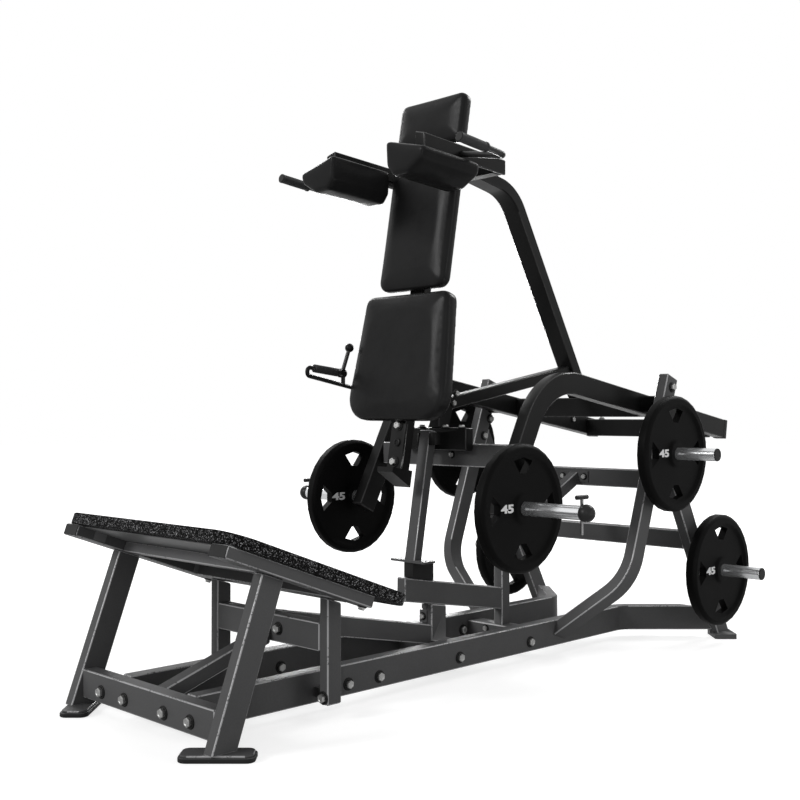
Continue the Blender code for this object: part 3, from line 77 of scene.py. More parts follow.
GREY_NODES = (
    "rail_left", "rail_right", "front_crossbar", "front_leg_left", "front_leg_right",
    "front_foot_left", "front_foot_right", "platform_beam_left", "platform_beam_right",
    "platform_rear_bar", "short_post_left", "short_post_right", "mid_crossbar", "front_brace",
    "spine", "beam_support", "stop_beam", "stop_post", "upright_left", "upright_right",
    "rear_strut_left", "rear_strut_right", "rear_bar_high", "rear_bar_low", "rear_brace",
    "carriage_bar", "stop_leg",
)
BLACK_NODES = (
    "arm_left", "arm_right", "cross_beam", "tail_bar", "hinge_box", "centre_beam", "yoke",
    "pad_spar", "side_handle", "grip_left", "grip_right", "release_lever",
)
HORN_NODES = (
    "load_horn_left", "load_horn_right", "store_horn_high_left", "store_horn_high_right",
    "store_horn_low_left", "store_horn_low_right", "lock_pin_left", "lock_pin_right",
)
DISCS = {
    "disc_load_right": (0.4277, 0.165 + SHIFT, 0.611),
    "disc_high_right": (0.551, 0.95192 + SHIFT, 0.784),
    "disc_low_right": (0.551, 1.29692 + SHIFT, 0.3025),
    "disc_load_left": (-0.4277, 0.165 + SHIFT, 0.611),
    "disc_high_left": (-0.551, 0.95192 + SHIFT, 0.784),
    "disc_low_left": (-0.551, 1.29692 + SHIFT, 0.3025),
}
SIDES = ((-1.0, "left"), (1.0, "right"))

LEAN = math.radians(10.0)
PAD_UP = Vector((0.0, math.sin(LEAN), math.cos(LEAN)))
PAD_BACK = Vector((0.0, math.cos(LEAN), -math.sin(LEAN)))
ARM_TILT = math.radians(9.25)
DECK_TILT = math.radians(20.1)

# Directions that bolts and plates face
OUTWARD = (1.0, 0.0, 0.0)
INWARD = (-1.0, 0.0, 0.0)
FORWARD = (0.0, -1.0, 0.0)
UPWARD = (0.0, 0.0, 1.0)
UNDER_DECK = (0.0, -math.sin(DECK_TILT), -math.cos(DECK_TILT))

# Lamps: name, place, width, height, watts
LAMPS = (
    ("strip_lamp", (3.4, -4.0, 1.5), 0.12, 3.0, 24.0),
    ("side_lamp", (5.0, 1.4, 2.8), 1.4, 1.4, 26.0),
    ("low_lamp", (2.3, 0.1, 0.45), 1.4, 0.5, 7.0),
    ("rim_lamp", (-5.4, 5.0, 1.95), 2.2, 1.1, 150.0),
    ("back_lamp", (0.4, 4.6, 4.4), 1.4, 1.4, 120.0),
    ("left_lamp", (-4.6, 0.6, 4.6), 1.4, 1.4, 105.0),
)
LAMP_AIM = (0.0, -0.1, 0.8)
SUN_PLACE = (-1.8, -5.0, 3.2)
SUN_AIM = (0.0, 0.0, 0.6)
SUN_STRENGTH = 1.65
SUN_ANGLE = math.radians(16.0)
CAMERA_PLACE = (2.8673, -3.13883, 0.9336)
CAMERA_TURN = (math.radians(90.7742), 0.0, math.radians(44.9767))
CAMERA_LENS = 50.28
CAMERA_SENSOR = 36.0

# A tube's corner strip is narrower than the first and longer than the second
STRIP_WIDTH = 0.0062
STRIP_LENGTH = 0.020

# Where the load horn's ball and the pin's T-bar begin, and where the storage horns end
BALL_X = 0.6890
T_BAR_Z = 0.6530
STORE_END_X = 0.742

# Disc faces, the rim's radii and its rounding, and the place and stretch of the number
DISC_HALF = 0.0150
RIM_HALF = 0.0145
RIM_OUTER = 0.2235
RIM_INNER = 0.2150
RIM_DRAWN = 0.2125
RIM_ROUNDED = 0.2100
RIM_BEVEL = 0.0045
NUMBER_OUT = 0.085
NUMBER_UP = 0.002
NUMBER_STRETCH = (1.30, 0.74, 1.0)

# Pads: node, direction to the board, direction up the pad, voxel, smoothing rounds
SHOULDER_BACK = Vector((0.0, 0.065, 1.0)).normalized()
SHOULDER_UP = Vector((0.0, 1.0, -0.065)).normalized()
PADS = (
    ("lower_pad", PAD_BACK, PAD_UP, 0.0060, 4),
    ("back_pad", PAD_BACK, PAD_UP, 0.0055, 4),
    ("head_pad", PAD_BACK, PAD_UP, 0.0050, 4),
    ("shoulder_pad_left", SHOULDER_BACK, SHOULDER_UP, 0.0050, 7),
    ("shoulder_pad_right", SHOULDER_BACK, SHOULDER_UP, 0.0050, 7),
)

# Turned outlines: height and radius at each step
PLUG_OUTLINE = [
    (-0.002, 0.0244), (0.0006, 0.0244), (0.0022, 0.0236), (0.0030, 0.0215), (0.0030, 0.0150),
    (0.0024, 0.0140),
]
GRIP_OUTLINE = [
    (0.0, 0.0150), (0.0012, 0.0172), (0.0060, 0.0172), (0.0072, 0.0164), (0.0640, 0.0167),
    (0.1260, 0.0164), (0.1280, 0.0180), (0.1340, 0.0180), (0.1350, 0.0150), (0.1350, 0.0118),
]
GRIP_END_OUTLINE = [(-0.0022, 0.0128), (-0.0012, 0.0146), (0.0016, 0.0146)]
HANDLE_OUTLINE = [
    (0.006, 0.0120), (0.007, 0.0170), (0.016, 0.0170), (0.018, 0.0152), (0.080, 0.0154),
    (0.144, 0.0150), (0.146, 0.0120),
]
BOSS_OUTLINE = [
    (-0.001, 0.0150), (0.004, 0.0150), (0.0055, 0.0130), (0.0055, 0.0085), (0.0030, 0.0075),
]

# Ends of the right shoulder grip's sleeve and of the side handle's
GRIP_TIP = (0.455, -0.178 + SHIFT, 1.836)
GRIP_REAR = (0.455, 0.060 + SHIFT, 1.812)
HANDLE_FRONT = (-0.275, -0.200 + SHIFT, 1.110)
HANDLE_REAR = (-0.275, -0.023 + SHIFT, 1.091)

# The arms' run and lower end, the deck's front edge and its own directions
ARM_RUN = Vector((0.0, math.cos(ARM_TILT), -math.sin(ARM_TILT)))
ARM_END = (0.3435, 1.700 + SHIFT, 0.977 - math.tan(ARM_TILT) * 0.660)
DECK_FRONT = Vector((0.0, -1.075 + SHIFT, 0.588))
DECK_ALONG = Vector((0.0, math.cos(DECK_TILT), -math.sin(DECK_TILT)))
DECK_UP = Vector((0.0, math.sin(DECK_TILT), math.cos(DECK_TILT)))

# Bolts on the right half, each as a place and a direction
RAIL_BOLTS = (
    ((0.1975, -0.703, 0.068), OUTWARD), ((0.1975, -0.564, 0.069), OUTWARD),
    ((0.1975, -0.166, 0.071), OUTWARD), ((0.1975, 0.236, 0.069), OUTWARD),
    ((0.1475, -0.703, 0.068), INWARD), ((0.1475, 0.236, 0.069), INWARD),
)
UPRIGHT_BOLTS = (
    ((0.4434, 0.755, 0.917), INWARD), ((0.4434, 0.713, 0.841), INWARD),
    ((0.4875, 0.776, 1.045), OUTWARD), ((0.4434, 0.776, 1.045), INWARD),
)
DECK_BOLTS = (((0.395, -0.827, 0.3558), UNDER_DECK),)
SPAR_BOLTS = (((0.0, -0.2752, 0.896), -PAD_BACK), ((0.0, -0.2982, 0.765), -PAD_BACK))
CARRIAGE_BOLTS = (
    ((0.025, -0.011, 0.979), OUTWARD), ((0.025, 0.006, 1.015), OUTWARD),
    ((0.318, 1.216, 0.913), INWARD), ((0.060, -0.090, 0.8865), UPWARD),
    ((0.140, -0.090, 0.8865), UPWARD), ((0.054, -0.0479, 0.787), FORWARD),
    ((0.247, 1.352, 0.9141), UPWARD),
)
SUPPORT_BOLT = ((-0.014, -0.1340, 0.187), FORWARD)


class Signal:
    """One output of a shader node, used in plain sums."""

    def __init__(self, tree, socket):
        self.tree = tree
        self.socket = socket

    def join(self, operation, first, second):
        node = self.tree.nodes.new("ShaderNodeMath")
        node.operation = operation
        for slot, value in zip(node.inputs, (first, second)):
            if isinstance(value, Signal):
                self.tree.links.new(value.socket, slot)
            else:
                slot.default_value = value
        return Signal(self.tree, node.outputs[0])

    def __add__(self, other):
        return self.join("ADD", self, other)

    def __radd__(self, other):
        return self.join("ADD", other, self)

    def __sub__(self, other):
        return self.join("SUBTRACT", self, other)

    def __rsub__(self, other):
        return self.join("SUBTRACT", other, self)

    def __mul__(self, other):
        return self.join("MULTIPLY", self, other)

    def __rmul__(self, other):
        return self.join("MULTIPLY", other, self)

    def __gt__(self, other):
        return self.join("GREATER_THAN", self, other)


class Finish:
    """A material under construction, with its main shader and Object coordinates."""

    def __init__(self, name, **constants):
        self.material = bpy.data.materials.new(name)
        self.material.use_nodes = True
        self.tree = self.material.node_tree
        self.shader = self.tree.nodes["Principled BSDF"]
        for label, value in constants.items():
            self.shader.inputs[label.replace("_", " ")].default_value = value
        self.place = self.node("ShaderNodeTexCoord", out="Object")

    def node(self, kind, settings=None, sockets=None, out=0):
        """Any shader node: its settings first, then the values or links of its sockets."""
        node = self.tree.nodes.new(kind)
        for label, value in (settings or {}).items():
            if label == "stops":
                ramp = node.color_ramp.elements
                while len(ramp) < len(value):
                    ramp.new(0.5)
                for stop, (position, colour) in zip(ramp, value):
                    stop.position = position
                    stop.color = (*colour, 1.0)
            else:
                setattr(node, label, value)
        for label, value in (sockets or {}).items():
            if isinstance(value, Signal):
                self.tree.links.new(value.socket, node.inputs[label])
            else:
                node.inputs[label].default_value = value
        return Signal(self.tree, node.outputs[out])

    def noise(self, scale, detail=2.0, rough=0.5):
        sockets = {"Vector": self.place, "Scale": scale, "Detail": detail, "Roughness": rough}
        return self.node("ShaderNodeTexNoise", {}, sockets)

    def cells(self, scale, out="Distance"):
        return self.node("ShaderNodeTexVoronoi", {}, {"Vector": self.place, "Scale": scale}, out)

    def channel(self, colour, which):
        return self.node("ShaderNodeSeparateColor", {}, {"Color": colour}, which)

    def blend(self, factor, first, second):
        """A colour between two colours."""
        sockets = {0: factor, 6: colour4(first), 7: colour4(second)}
        return self.node("ShaderNodeMix", {"data_type": "RGBA"}, sockets, 2)

    def tint(self, factor, colour, dark, light):
        """Base colour between a darker and a lighter shade of one colour."""
        self.feed("Base Color", self.blend(factor, shade_of(colour, dark), shade_of(colour, light)))

    def feed(self, label, signal):
        self.tree.links.new(signal.socket, self.shader.inputs[label])

    def bump(self, height, strength, distance):
        sockets = {"Height": height, "Strength": strength, "Distance": distance}
        self.feed("Normal", self.node("ShaderNodeBump", {}, sockets))


def colour4(value):
    if isinstance(value, Signal):
        return value
    return (value[0], value[1], value[2], 1.0)


def shade_of(colour, factor):
    return tuple(channel * factor for channel in colour[:3])


def powder_coat(name, colour):
    """Textured powder coat: fine orange-peel grain and slow cloudy changes of tone."""
    coat = Finish(name, Specular_IOR_Level=0.12)
    cloud = coat.noise(5.0, 3.0)
    grain = coat.noise(240.0, 2.0)
    coat.tint(cloud * 0.5 + grain * 0.5, colour, 0.72, 1.30)
    coat.feed("Roughness", 0.34 + cloud * 0.10 + grain * 0.06)
    coat.bump(grain + coat.noise(1500.0, 1.0) * 0.5, 0.22, 0.0004)
    return coat.material


def edge_highlight(name, colour, gloss, highlight_lift):
    """Thin, polished coat on the rounded tube corners, with a painted highlight: its base colour is
    lightened in short dashes.
    """
    edge = Finish(name, Specular_IOR_Level=gloss)
    edge_grain = edge.noise(170.0, 2.0)
    slow = edge.noise(14.0, 2.0)
    dash = (edge_grain * 0.6 + slow * 0.4 > 0.42) * 0.6
    # Painted highlight: the corners' base colour is lightened above the coat's own, most in short
    # dashes
    edge.tint(dash + slow * 0.3, colour, 1.1, highlight_lift)
    edge.feed("Roughness", 0.18 + slow * 0.08)
    edge.bump(edge_grain, 0.05, 0.0002)
    return edge.material


def satin_coat(name, colour):
    """Smooth black coat of the moving frame."""
    coat = Finish(name, Specular_IOR_Level=0.09)
    cloud = coat.noise(7.0, 3.0)
    grain = coat.noise(700.0, 2.0)
    coat.tint(cloud, colour, 0.75, 1.30)
    coat.feed("Roughness", 0.28 + cloud * 0.10)
    coat.bump(grain, 0.12, 0.0003)
    return coat.material


def pad_vinyl(colour):
    """Upholstery vinyl: pebble grain, shallow puckers and slow changes of gloss."""
    vinyl = Finish("pad_vinyl", Specular_IOR_Level=0.06)
    pucker = vinyl.noise(11.0, 3.0, 0.55)
    pebble = vinyl.cells(620.0)
    fine = vinyl.noise(1700.0, 2.0)
    vinyl.tint(pucker, colour, 0.80, 1.25)
    vinyl.feed("Roughness", 0.22 + pucker * 0.08 + pebble * 0.06)
    vinyl.bump(pucker * 6.0 + pebble * 0.6 + fine * 0.25, 0.20, 0.0006)
    return vinyl.material


def disc_urethane(colour):
    """Cast urethane of the discs: dull, very dark, with a fine sand texture."""
    cast = Finish("disc_urethane", Specular_IOR_Level=0.04)
    cloud = cast.noise(9.0, 2.0)
    sand = cast.noise(900.0, 2.0)
    cast.tint(cloud, colour, 0.80, 1.25)
    cast.feed("Roughness", 0.42 + cloud * 0.10 + sand * 0.06)
    cast.bump(sand, 0.20, 0.0003)
    return cast.material


def number_paint(colour):
    """Flat pale paint on the raised numbers, thin in places."""
    paint = Finish("number_paint", Specular_IOR_Level=0.25)
    wear = paint.noise(260.0, 3.0)
    paint.tint(wear, colour, 0.80, 1.10)
    paint.feed("Roughness", 0.50 + wear * 0.15)
    paint.bump(wear, 0.15, 0.0002)
    return paint.material


def bright_metal(name, colour, rough, streak, solid=1.0):
    """Chrome or zinc plate with faint turning marks."""
    plate = Finish(name, Metallic=solid)
    cloud = plate.noise(30.0, 3.0)
    fine = plate.noise(1200.0, 1.0)
    plate.tint(cloud, colour, 0.85, 1.05)
    plate.feed("Roughness", rough + cloud * streak + fine * (streak * 0.4))
    plate.bump(fine, 0.06, 0.0001)
    return plate.material


def grip_rubber(name, colour):
    """Soft grip rubber with a fine stipple."""
    rubber = Finish(name, Specular_IOR_Level=0.12)
    stipple = rubber.cells(900.0)
    cloud = rubber.noise(25.0, 2.0)
    rubber.tint(cloud, colour, 0.80, 1.20)
    rubber.feed("Roughness", 0.55 + stipple * 0.20)
    rubber.bump(stipple, 0.30, 0.0003)
    return rubber.material


def speckled_deck(base, speck):
    """Recycled rubber matting: dark crumb with pale crumbs of many tones."""
    deck = Finish("speckled_deck", Specular_IOR_Level=0.05)
    crumb = deck.cells(400.0, "Color")
    chance = deck.channel(crumb, "Red")
    tone = deck.channel(crumb, "Green")
    fine = deck.cells(620.0, "Color")
    small = deck.channel(fine, "Blue")
    pale = (chance > 0.86) * (0.05 + tone * 0.95)
    dust = (small > 0.94) * 0.28
    deck.feed("Base Color", deck.blend(pale * 0.8 + dust * (1 - pale), base, speck))
    deck.feed("Roughness", 0.70 + tone * 0.20)
    deck.bump(deck.cells(330.0) + chance * 0.6, 0.50, 0.0010)
    return deck.material


def moulded_plastic(name, colour):
    """Moulded end caps and the buffer block."""
    plastic = Finish(name, Specular_IOR_Level=0.14)
    cloud = plastic.noise(18.0, 2.0)
    spark = plastic.noise(800.0, 2.0)
    plastic.tint(cloud, colour, 0.82, 1.18)
    plastic.feed("Roughness", 0.45 + spark * 0.15)
    plastic.bump(spark, 0.25, 0.0003)
    return plastic.material


def finish_named(name):
    """The finished material of that name, made on first use from the panel's colours."""
    made = bpy.data.materials.get(name)
    if made is not None:
        return made
    tones = bpy.context.scene.vsquat_colours
    makers = {
        "frame_powder": lambda: powder_coat("frame_powder", tones.frame_grey),
        "carriage_satin": lambda: satin_coat("carriage_satin", tones.carriage_black),
        # Corner finishes, with a painted highlight in their base colour
        "frame_edge": lambda: edge_highlight("frame_edge", tones.frame_grey, 0.60, 6.0),
        "carriage_edge": lambda: edge_highlight("carriage_edge", tones.carriage_black, 0.25, 3.0),
        "pad_vinyl": lambda: pad_vinyl(tones.pad_black),
        "disc_urethane": lambda: disc_urethane(tones.disc_black),
        "number_paint": lambda: number_paint(tones.number_grey),
        "horn_chrome": lambda: bright_metal("horn_chrome", (0.76, 0.77, 0.78), 0.12, 0.08, 0.82),
        # A lit copy of the frame grey, 1.9 times lighter: painted light on the parts under the deck
        "deck_steel": lambda: powder_coat("deck_steel", shade_of(tones.frame_grey, 1.9)),
        "pin_steel": lambda: bright_metal("pin_steel", (0.16, 0.16, 0.16), 0.30, 0.10),
        "horn_end": lambda: satin_coat("horn_end", (0.020, 0.020, 0.020)),
        "bolt_zinc": lambda: bright_metal("bolt_zinc", (0.36, 0.36, 0.355), 0.34, 0.12),
        "washer_black": lambda: moulded_plastic("washer_black", (0.006, 0.006, 0.006)),
        "cap_black": lambda: moulded_plastic("cap_black", (0.014, 0.014, 0.014)),
        "buffer_rubber": lambda: grip_rubber("buffer_rubber", (0.012, 0.012, 0.012)),
        "sleeve_rubber": lambda: grip_rubber("sleeve_rubber", (0.036, 0.036, 0.037)),
        "sleeve_end": lambda: moulded_plastic("sleeve_end", (0.026, 0.026, 0.026)),
        "speckled_deck": lambda: speckled_deck(tones.deck_black, tones.deck_speck),
    }
    return makers[name]()


def rest():
    """Back to object mode with nothing selected."""
    active = bpy.context.view_layer.objects.active
    if active is not None and active.mode != "OBJECT":
        bpy.ops.object.mode_set(mode="OBJECT")
    bpy.ops.object.select_all(action="DESELECT")


def pick(*pieces):
    """Only these are selected, and the first is active."""
    rest()
    for piece in pieces:
        piece.select_set(True)
    bpy.context.view_layer.objects.active = pieces[0]


def edit_faces(piece, test):
    """Edit mode on a piece with only the faces that pass the test selected."""
    pick(piece)
    bpy.ops.object.mode_set(mode="EDIT")
    bpy.ops.mesh.select_mode(type="FACE")
    bpy.ops.mesh.select_all(action="DESELECT")
    bpy.ops.object.mode_set(mode="OBJECT")
    for face in piece.data.polygons:
        face.select = test(face)
    bpy.ops.object.mode_set(mode="EDIT")


def settle(piece, name, body, *finishes):
    """Freezes the place into the mesh, names it, gives the finishes and makes it ride."""
    pick(piece)
    bpy.ops.object.transform_apply(location=True, rotation=True, scale=True)
    piece.name = name
    piece.data.name = name
    if finishes:
        piece.data.materials.clear()
        for finish in finishes:
            piece.data.materials.append(finish_named(finish))
    rest()
    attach(piece, body)
    return piece


def round_over(piece, degrees=50.0):
    """Smooth shading over small chamfers and bends, with broad faces kept flat."""
    pick(piece)
    bpy.ops.object.shade_smooth_by_angle(angle=math.radians(degrees))
    bpy.ops.object.modifier_add(type="WEIGHTED_NORMAL")
    weighted = piece.modifiers[-1]
    weighted.keep_sharp = True
    weighted.weight = 80
    bpy.ops.object.modifier_apply(modifier=weighted.name)


def copy_of(node, name):
    """A merged copy of a CAD node's mesh as a new object."""
    mesh = frame["nodes"][node].data.copy()
    piece = bpy.data.objects.new(name, mesh)
    bpy.context.scene.collection.objects.link(piece)
    pick(piece)
    bpy.ops.object.mode_set(mode="EDIT")
    bpy.ops.mesh.select_all(action="SELECT")
    bpy.ops.mesh.remove_doubles(threshold=0.00002)
    bpy.ops.mesh.dissolve_limited(angle_limit=math.radians(0.4))
    bpy.ops.object.mode_set(mode="OBJECT")
    return piece


def mark_edges(piece):
    """Gives the narrow corner strips of a tube the second finish, which carries a painted
    highlight.
    """
    points = piece.data.vertices
    for face in piece.data.polygons:
        ring = [points[index].co for index in face.vertices]
        sides = zip(ring, ring[1:] + ring[:1])
        longest = max((first - second).length for first, second in sides)
        narrow = face.area / longest < STRIP_WIDTH
        face.material_index = 1 if narrow and longest > STRIP_LENGTH else 0


def dress(node, finish, degrees=50.0, edge=None, shape=None):
    """Shows a CAD node as a merged, smooth-edged copy in its real finish, with painted highlight on
    its corners if edge is given.
    """
    name = node + "_dressed"
    solid = frame["nodes"][node]
    body = solid.parent.name.split(":")[-1]
    piece = copy_of(node, name)
    if shape is not None:
        shape(piece)
    round_over(piece, degrees)
    if edge is None:
        settle(piece, name, body, finish)
    else:
        settle(piece, name, body, finish, edge)
        mark_edges(piece)
    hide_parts(node)
    solid.data.materials.clear()
    solid.data.materials.append(finish_named(finish))
    return piece


def turned(steps, sides=32):
    """A turned piece along +Z: (height, radius) steps from a filled circle, extruded."""
    rest()
    low, radius = steps[0]
    bpy.ops.mesh.primitive_circle_add(
        vertices=sides, radius=radius, fill_type="NGON", location=(0.0, 0.0, low)
    )
    piece = bpy.context.object
    bpy.ops.object.transform_apply(location=True, rotation=True, scale=True)
    bpy.ops.object.mode_set(mode="EDIT")
    bpy.ops.mesh.select_mode(type="FACE")
    bpy.ops.mesh.select_all(action="SELECT")
    for (low, before), (high, after) in zip(steps, steps[1:]):
        rise = {"value": (0.0, 0.0, high - low)}
        bpy.ops.mesh.extrude_region_move(TRANSFORM_OT_translate=rise)
        bpy.ops.transform.resize(value=(after / before, after / before, 1.0))
    bpy.ops.mesh.select_all(action="SELECT")
    bpy.ops.mesh.normals_make_consistent(inside=False)
    bpy.ops.object.mode_set(mode="OBJECT")
    return piece


def block(size, centre, turn=None, bevel=0.0015):
    """A bevelled block of that size, turned about its own centre and put in place."""
    rest()
    bpy.ops.mesh.primitive_cube_add(size=1.0)
    piece = bpy.context.object
    piece.scale = size
    bpy.ops.object.transform_apply(location=False, rotation=False, scale=True)
    bpy.ops.object.mode_set(mode="EDIT")
    bpy.ops.mesh.select_all(action="SELECT")
    bpy.ops.mesh.bevel(offset=bevel, segments=2, affect="EDGES")
    bpy.ops.object.mode_set(mode="OBJECT")
    piece.matrix_world = Matrix.Translation(Vector(centre)) @ (turn or Matrix.Identity(4))
    bpy.ops.object.transform_apply(location=True, rotation=True, scale=True)
    return piece


def aim(place, axis):
    """The matrix that takes a piece made along +Z to a place and direction."""
    turn = Vector(axis).to_track_quat("Z", "Y").to_matrix().to_4x4()
    return Matrix.Translation(Vector(place)) @ turn


def facing(place, target):
    """The rotation that points a lamp at a place toward a target."""
    return (Vector(target) - Vector(place)).to_track_quat("-Z", "Y").to_euler()


def scatter(pattern, places):
    """Copies of one piece, each with its own mesh, joined into one."""
    copies = []
    for place, axis in places:
        one = pattern.copy()
        one.data = pattern.data.copy()
        bpy.context.scene.collection.objects.link(one)
        one.matrix_world = aim(place, axis)
        copies.append(one)
    bpy.context.view_layer.update()
    pick(*copies)
    bpy.ops.object.transform_apply(location=True, rotation=True, scale=True)
    if len(copies) > 1:
        bpy.ops.object.join()
    return copies[0]


def hex_bolt(radius, tall, washer):
    """A chamfered hexagon head with a dimple on a black washer, standing on z 0."""
    base = 0.0030
    top = base + tall
    dimple = 0.0008
    head = turned(
        [(base, radius), (base + tall * 0.72, radius), (top, radius * 0.84),
         (top, radius * 0.55), (top - dimple, radius * 0.45)],
        6,
    )
    head.data.materials.append(finish_named("bolt_zinc"))
    ring = turned([(-0.0004, washer), (0.0024, washer), (0.0034, washer * 0.93)], 36)
    ring.data.materials.append(finish_named("washer_black"))
    pick(head, ring)
    bpy.ops.object.join()
    round_over(head, 30.0)
    return head


def both_sides(places):
    """Each place and its mirror image across the machine's middle plane."""
    found = []
    for (x, y, z), (dx, dy, dz) in places:
        found.append(((x, y, z), (dx, dy, dz)))
        found.append(((-x, y, z), (-dx, dy, dz)))
    return found


class VSquatSizes(bpy.types.PropertyGroup):
    """Sizes of the dressed pieces."""

    pad_swell: FloatProperty(
        name="Pad swell", description="Furthest that the filling moves a pad's cover",
        default=0.005, unit="LENGTH",
    )
    pad_pressure: FloatProperty(
        name="Pad pressure", description="Pressure inside the simulated pads", default=2.5
    )
    pad_steps: IntProperty(
        name="Pad steps", description="Frames of the pad simulation", default=12
    )
    bolt_radius: FloatProperty(
        name="Bolt radius", description="Corner radius of the larger bolt heads",
        default=0.0145, unit="LENGTH",
    )
    number_size: FloatProperty(
        name="Number size", description="Size of the raised numbers on the discs",
        default=0.052, unit="LENGTH",
    )
    number_lift: FloatProperty(
        name="Number lift", description="How far the numbers stand off the disc",
        default=0.0012, unit="LENGTH",
    )


class VSquatColours(bpy.types.PropertyGroup):
    """Colours of the finishes."""

    frame_grey: FloatVectorProperty(
        name="Frame grey", description="Powder coat of the fixed frame", subtype="COLOR", size=3,
        default=(0.070, 0.070, 0.071),
    )
    carriage_black: FloatVectorProperty(
        name="Carriage black", description="Coat of the moving frame", subtype="COLOR", size=3,
        default=(0.0085, 0.0085, 0.0085),
    )
    pad_black: FloatVectorProperty(
        name="Pad black", description="Vinyl of the pads", subtype="COLOR", size=3,
        default=(0.0135, 0.0135, 0.0137),
    )
    disc_black: FloatVectorProperty(
        name="Disc black", description="Urethane of the discs", subtype="COLOR", size=3,
        default=(0.0024, 0.0024, 0.0024),
    )
    number_grey: FloatVectorProperty(
        name="Number grey", description="Paint of the numbers", subtype="COLOR", size=3,
        default=(0.74, 0.74, 0.74),
    )
    deck_black: FloatVectorProperty(
        name="Deck black", description="Dark crumb of the platform mat", subtype="COLOR", size=3,
        default=(0.0035, 0.0035, 0.0035),
    )
    deck_speck: FloatVectorProperty(
        name="Deck speck", description="Pale crumb of the platform mat", subtype="COLOR", size=3,
        default=(0.38, 0.38, 0.39),
    )


class VSQUAT_OT_stage(bpy.types.Operator):
    """Adds the pale floor, the soft lamps, the white surround and the camera"""

    bl_idname = "vsquat.stage"
    bl_label = "Stage"

    def execute(self, context):
        scene = context.scene
        scene.view_settings.view_transform = "Standard"
        rest()
        bpy.ops.mesh.primitive_plane_add(size=60.0, location=(0.0, 0.0, -0.0005))
        floor = context.object
        floor.name = "floor"
        paint = Finish("floor_paint", Specular_IOR_Level=0.0)
        paint.tint(paint.noise(2.0), (1.0, 1.0, 1.0), 0.42, 0.46)
        paint.shader.inputs["Roughness"].default_value = 0.9
        seen = self.seen_rays(paint)
        length = {"operation": "LENGTH"}
        away = paint.node("ShaderNodeVectorMath", length, {0: paint.place}, "Value")
        far = paint.node(
            "ShaderNodeMapRange", {"interpolation_type": "SMOOTHSTEP"},
            {"Value": away, "From Min": 1.5, "From Max": 5.0, "To Min": 0.74, "To Max": 0.95},
        )
        white = (1.0, 1.0, 1.0, 1.0)
        glow = paint.node("ShaderNodeEmission", {}, {"Color": white, "Strength": seen * far})
        both = paint.tree.nodes.new("ShaderNodeAddShader")
        paint.tree.links.new(paint.shader.outputs[0], both.inputs[0])
        paint.tree.links.new(glow.socket, both.inputs[1])
        paint.tree.links.new(both.outputs[0], paint.tree.nodes["Material Output"].inputs["Surface"])
        floor.data.materials.append(paint.material)

        world = bpy.data.worlds.new("studio")
        scene.world = world
        world.use_nodes = True
        tree = world.node_tree
        rays = tree.nodes.new("ShaderNodeLightPath")
        camera_ray = Signal(tree, rays.outputs["Is Camera Ray"])
        glossy = Signal(tree, rays.outputs["Is Glossy Ray"])
        through = Signal(tree, rays.outputs["Is Transmission Ray"])
        either = camera_ray + glossy + through
        strength = 0.40 + (either > 0.5) * 0.60
        tree.links.new(strength.socket, tree.nodes["Background"].inputs["Strength"])
        tree.nodes["Background"].inputs["Color"].default_value = white

        for name, place, wide, tall, watts in LAMPS:
            light = bpy.data.lights.new(name, "AREA")
            light.shape = "RECTANGLE"
            light.size = wide
            light.size_y = tall
            light.energy = watts
            lamp = bpy.data.objects.new(name, light)
            scene.collection.objects.link(lamp)
            lamp.location = place
            lamp.visible_camera = False
            lamp.rotation_euler = facing(place, LAMP_AIM)

        sun = bpy.data.lights.new("key_sun", "SUN")
        sun.energy = SUN_STRENGTH
        sun.angle = SUN_ANGLE
        key = bpy.data.objects.new("key_sun", sun)
        scene.collection.objects.link(key)
        key.rotation_euler = facing(SUN_PLACE, SUN_AIM)

        lens = bpy.data.cameras.new("photo_camera")
        lens.lens = CAMERA_LENS
        lens.sensor_width = CAMERA_SENSOR
        camera = bpy.data.objects.new("photo_camera", lens)
        scene.collection.objects.link(camera)
        camera.location = CAMERA_PLACE
        camera.rotation_euler = CAMERA_TURN
        scene.camera = camera
        return {"FINISHED"}

    def seen_rays(self, paint):
        """1 for rays from the camera or through glass, and less for those seen in metal."""
        total = paint.node("ShaderNodeLightPath", out="Is Camera Ray")
        total = total + paint.node("ShaderNodeLightPath", out="Is Glossy Ray") * 0.4
        return total + paint.node("ShaderNodeLightPath", out="Is Transmission Ray")


class VSQUAT_OT_frame_tubes(bpy.types.Operator):
    """Dresses the fixed grey tubes in textured powder coat"""

    bl_idname = "vsquat.frame_tubes"
    bl_label = "Frame tubes"

    def execute(self, context):
        for node in GREY_NODES:
            # The corner strips get the painted highlight finish
            piece = dress(node, "frame_powder", edge="frame_edge")
            if "foot" in node:
                piece.data.materials.append(finish_named("cap_black"))
                for face in piece.data.polygons:
                    face.material_index = 0 if face.normal.z > 0.9 else 2
        return {"FINISHED"}


class VSQUAT_OT_carriage_tubes(bpy.types.Operator):
    """Dresses the moving black frame, its handles and its lever"""

    bl_idname = "vsquat.carriage_tubes"
    bl_label = "Carriage tubes"

    def execute(self, context):
        for node in BLACK_NODES:
            # The corner strips get the painted highlight finish
            dress(node, "carriage_satin", edge="carriage_edge")
        return {"FINISHED"}


class VSQUAT_OT_deck(bpy.types.Operator):
    """Gives the platform its speckled matting and the stop its rubber buffer"""

    bl_idname = "vsquat.deck"
    bl_label = "Deck and buffer"

    def execute(self, context):
        dress("platform_mat", "speckled_deck")
        dress("bumper", "buffer_rubber")
        return {"FINISHED"}


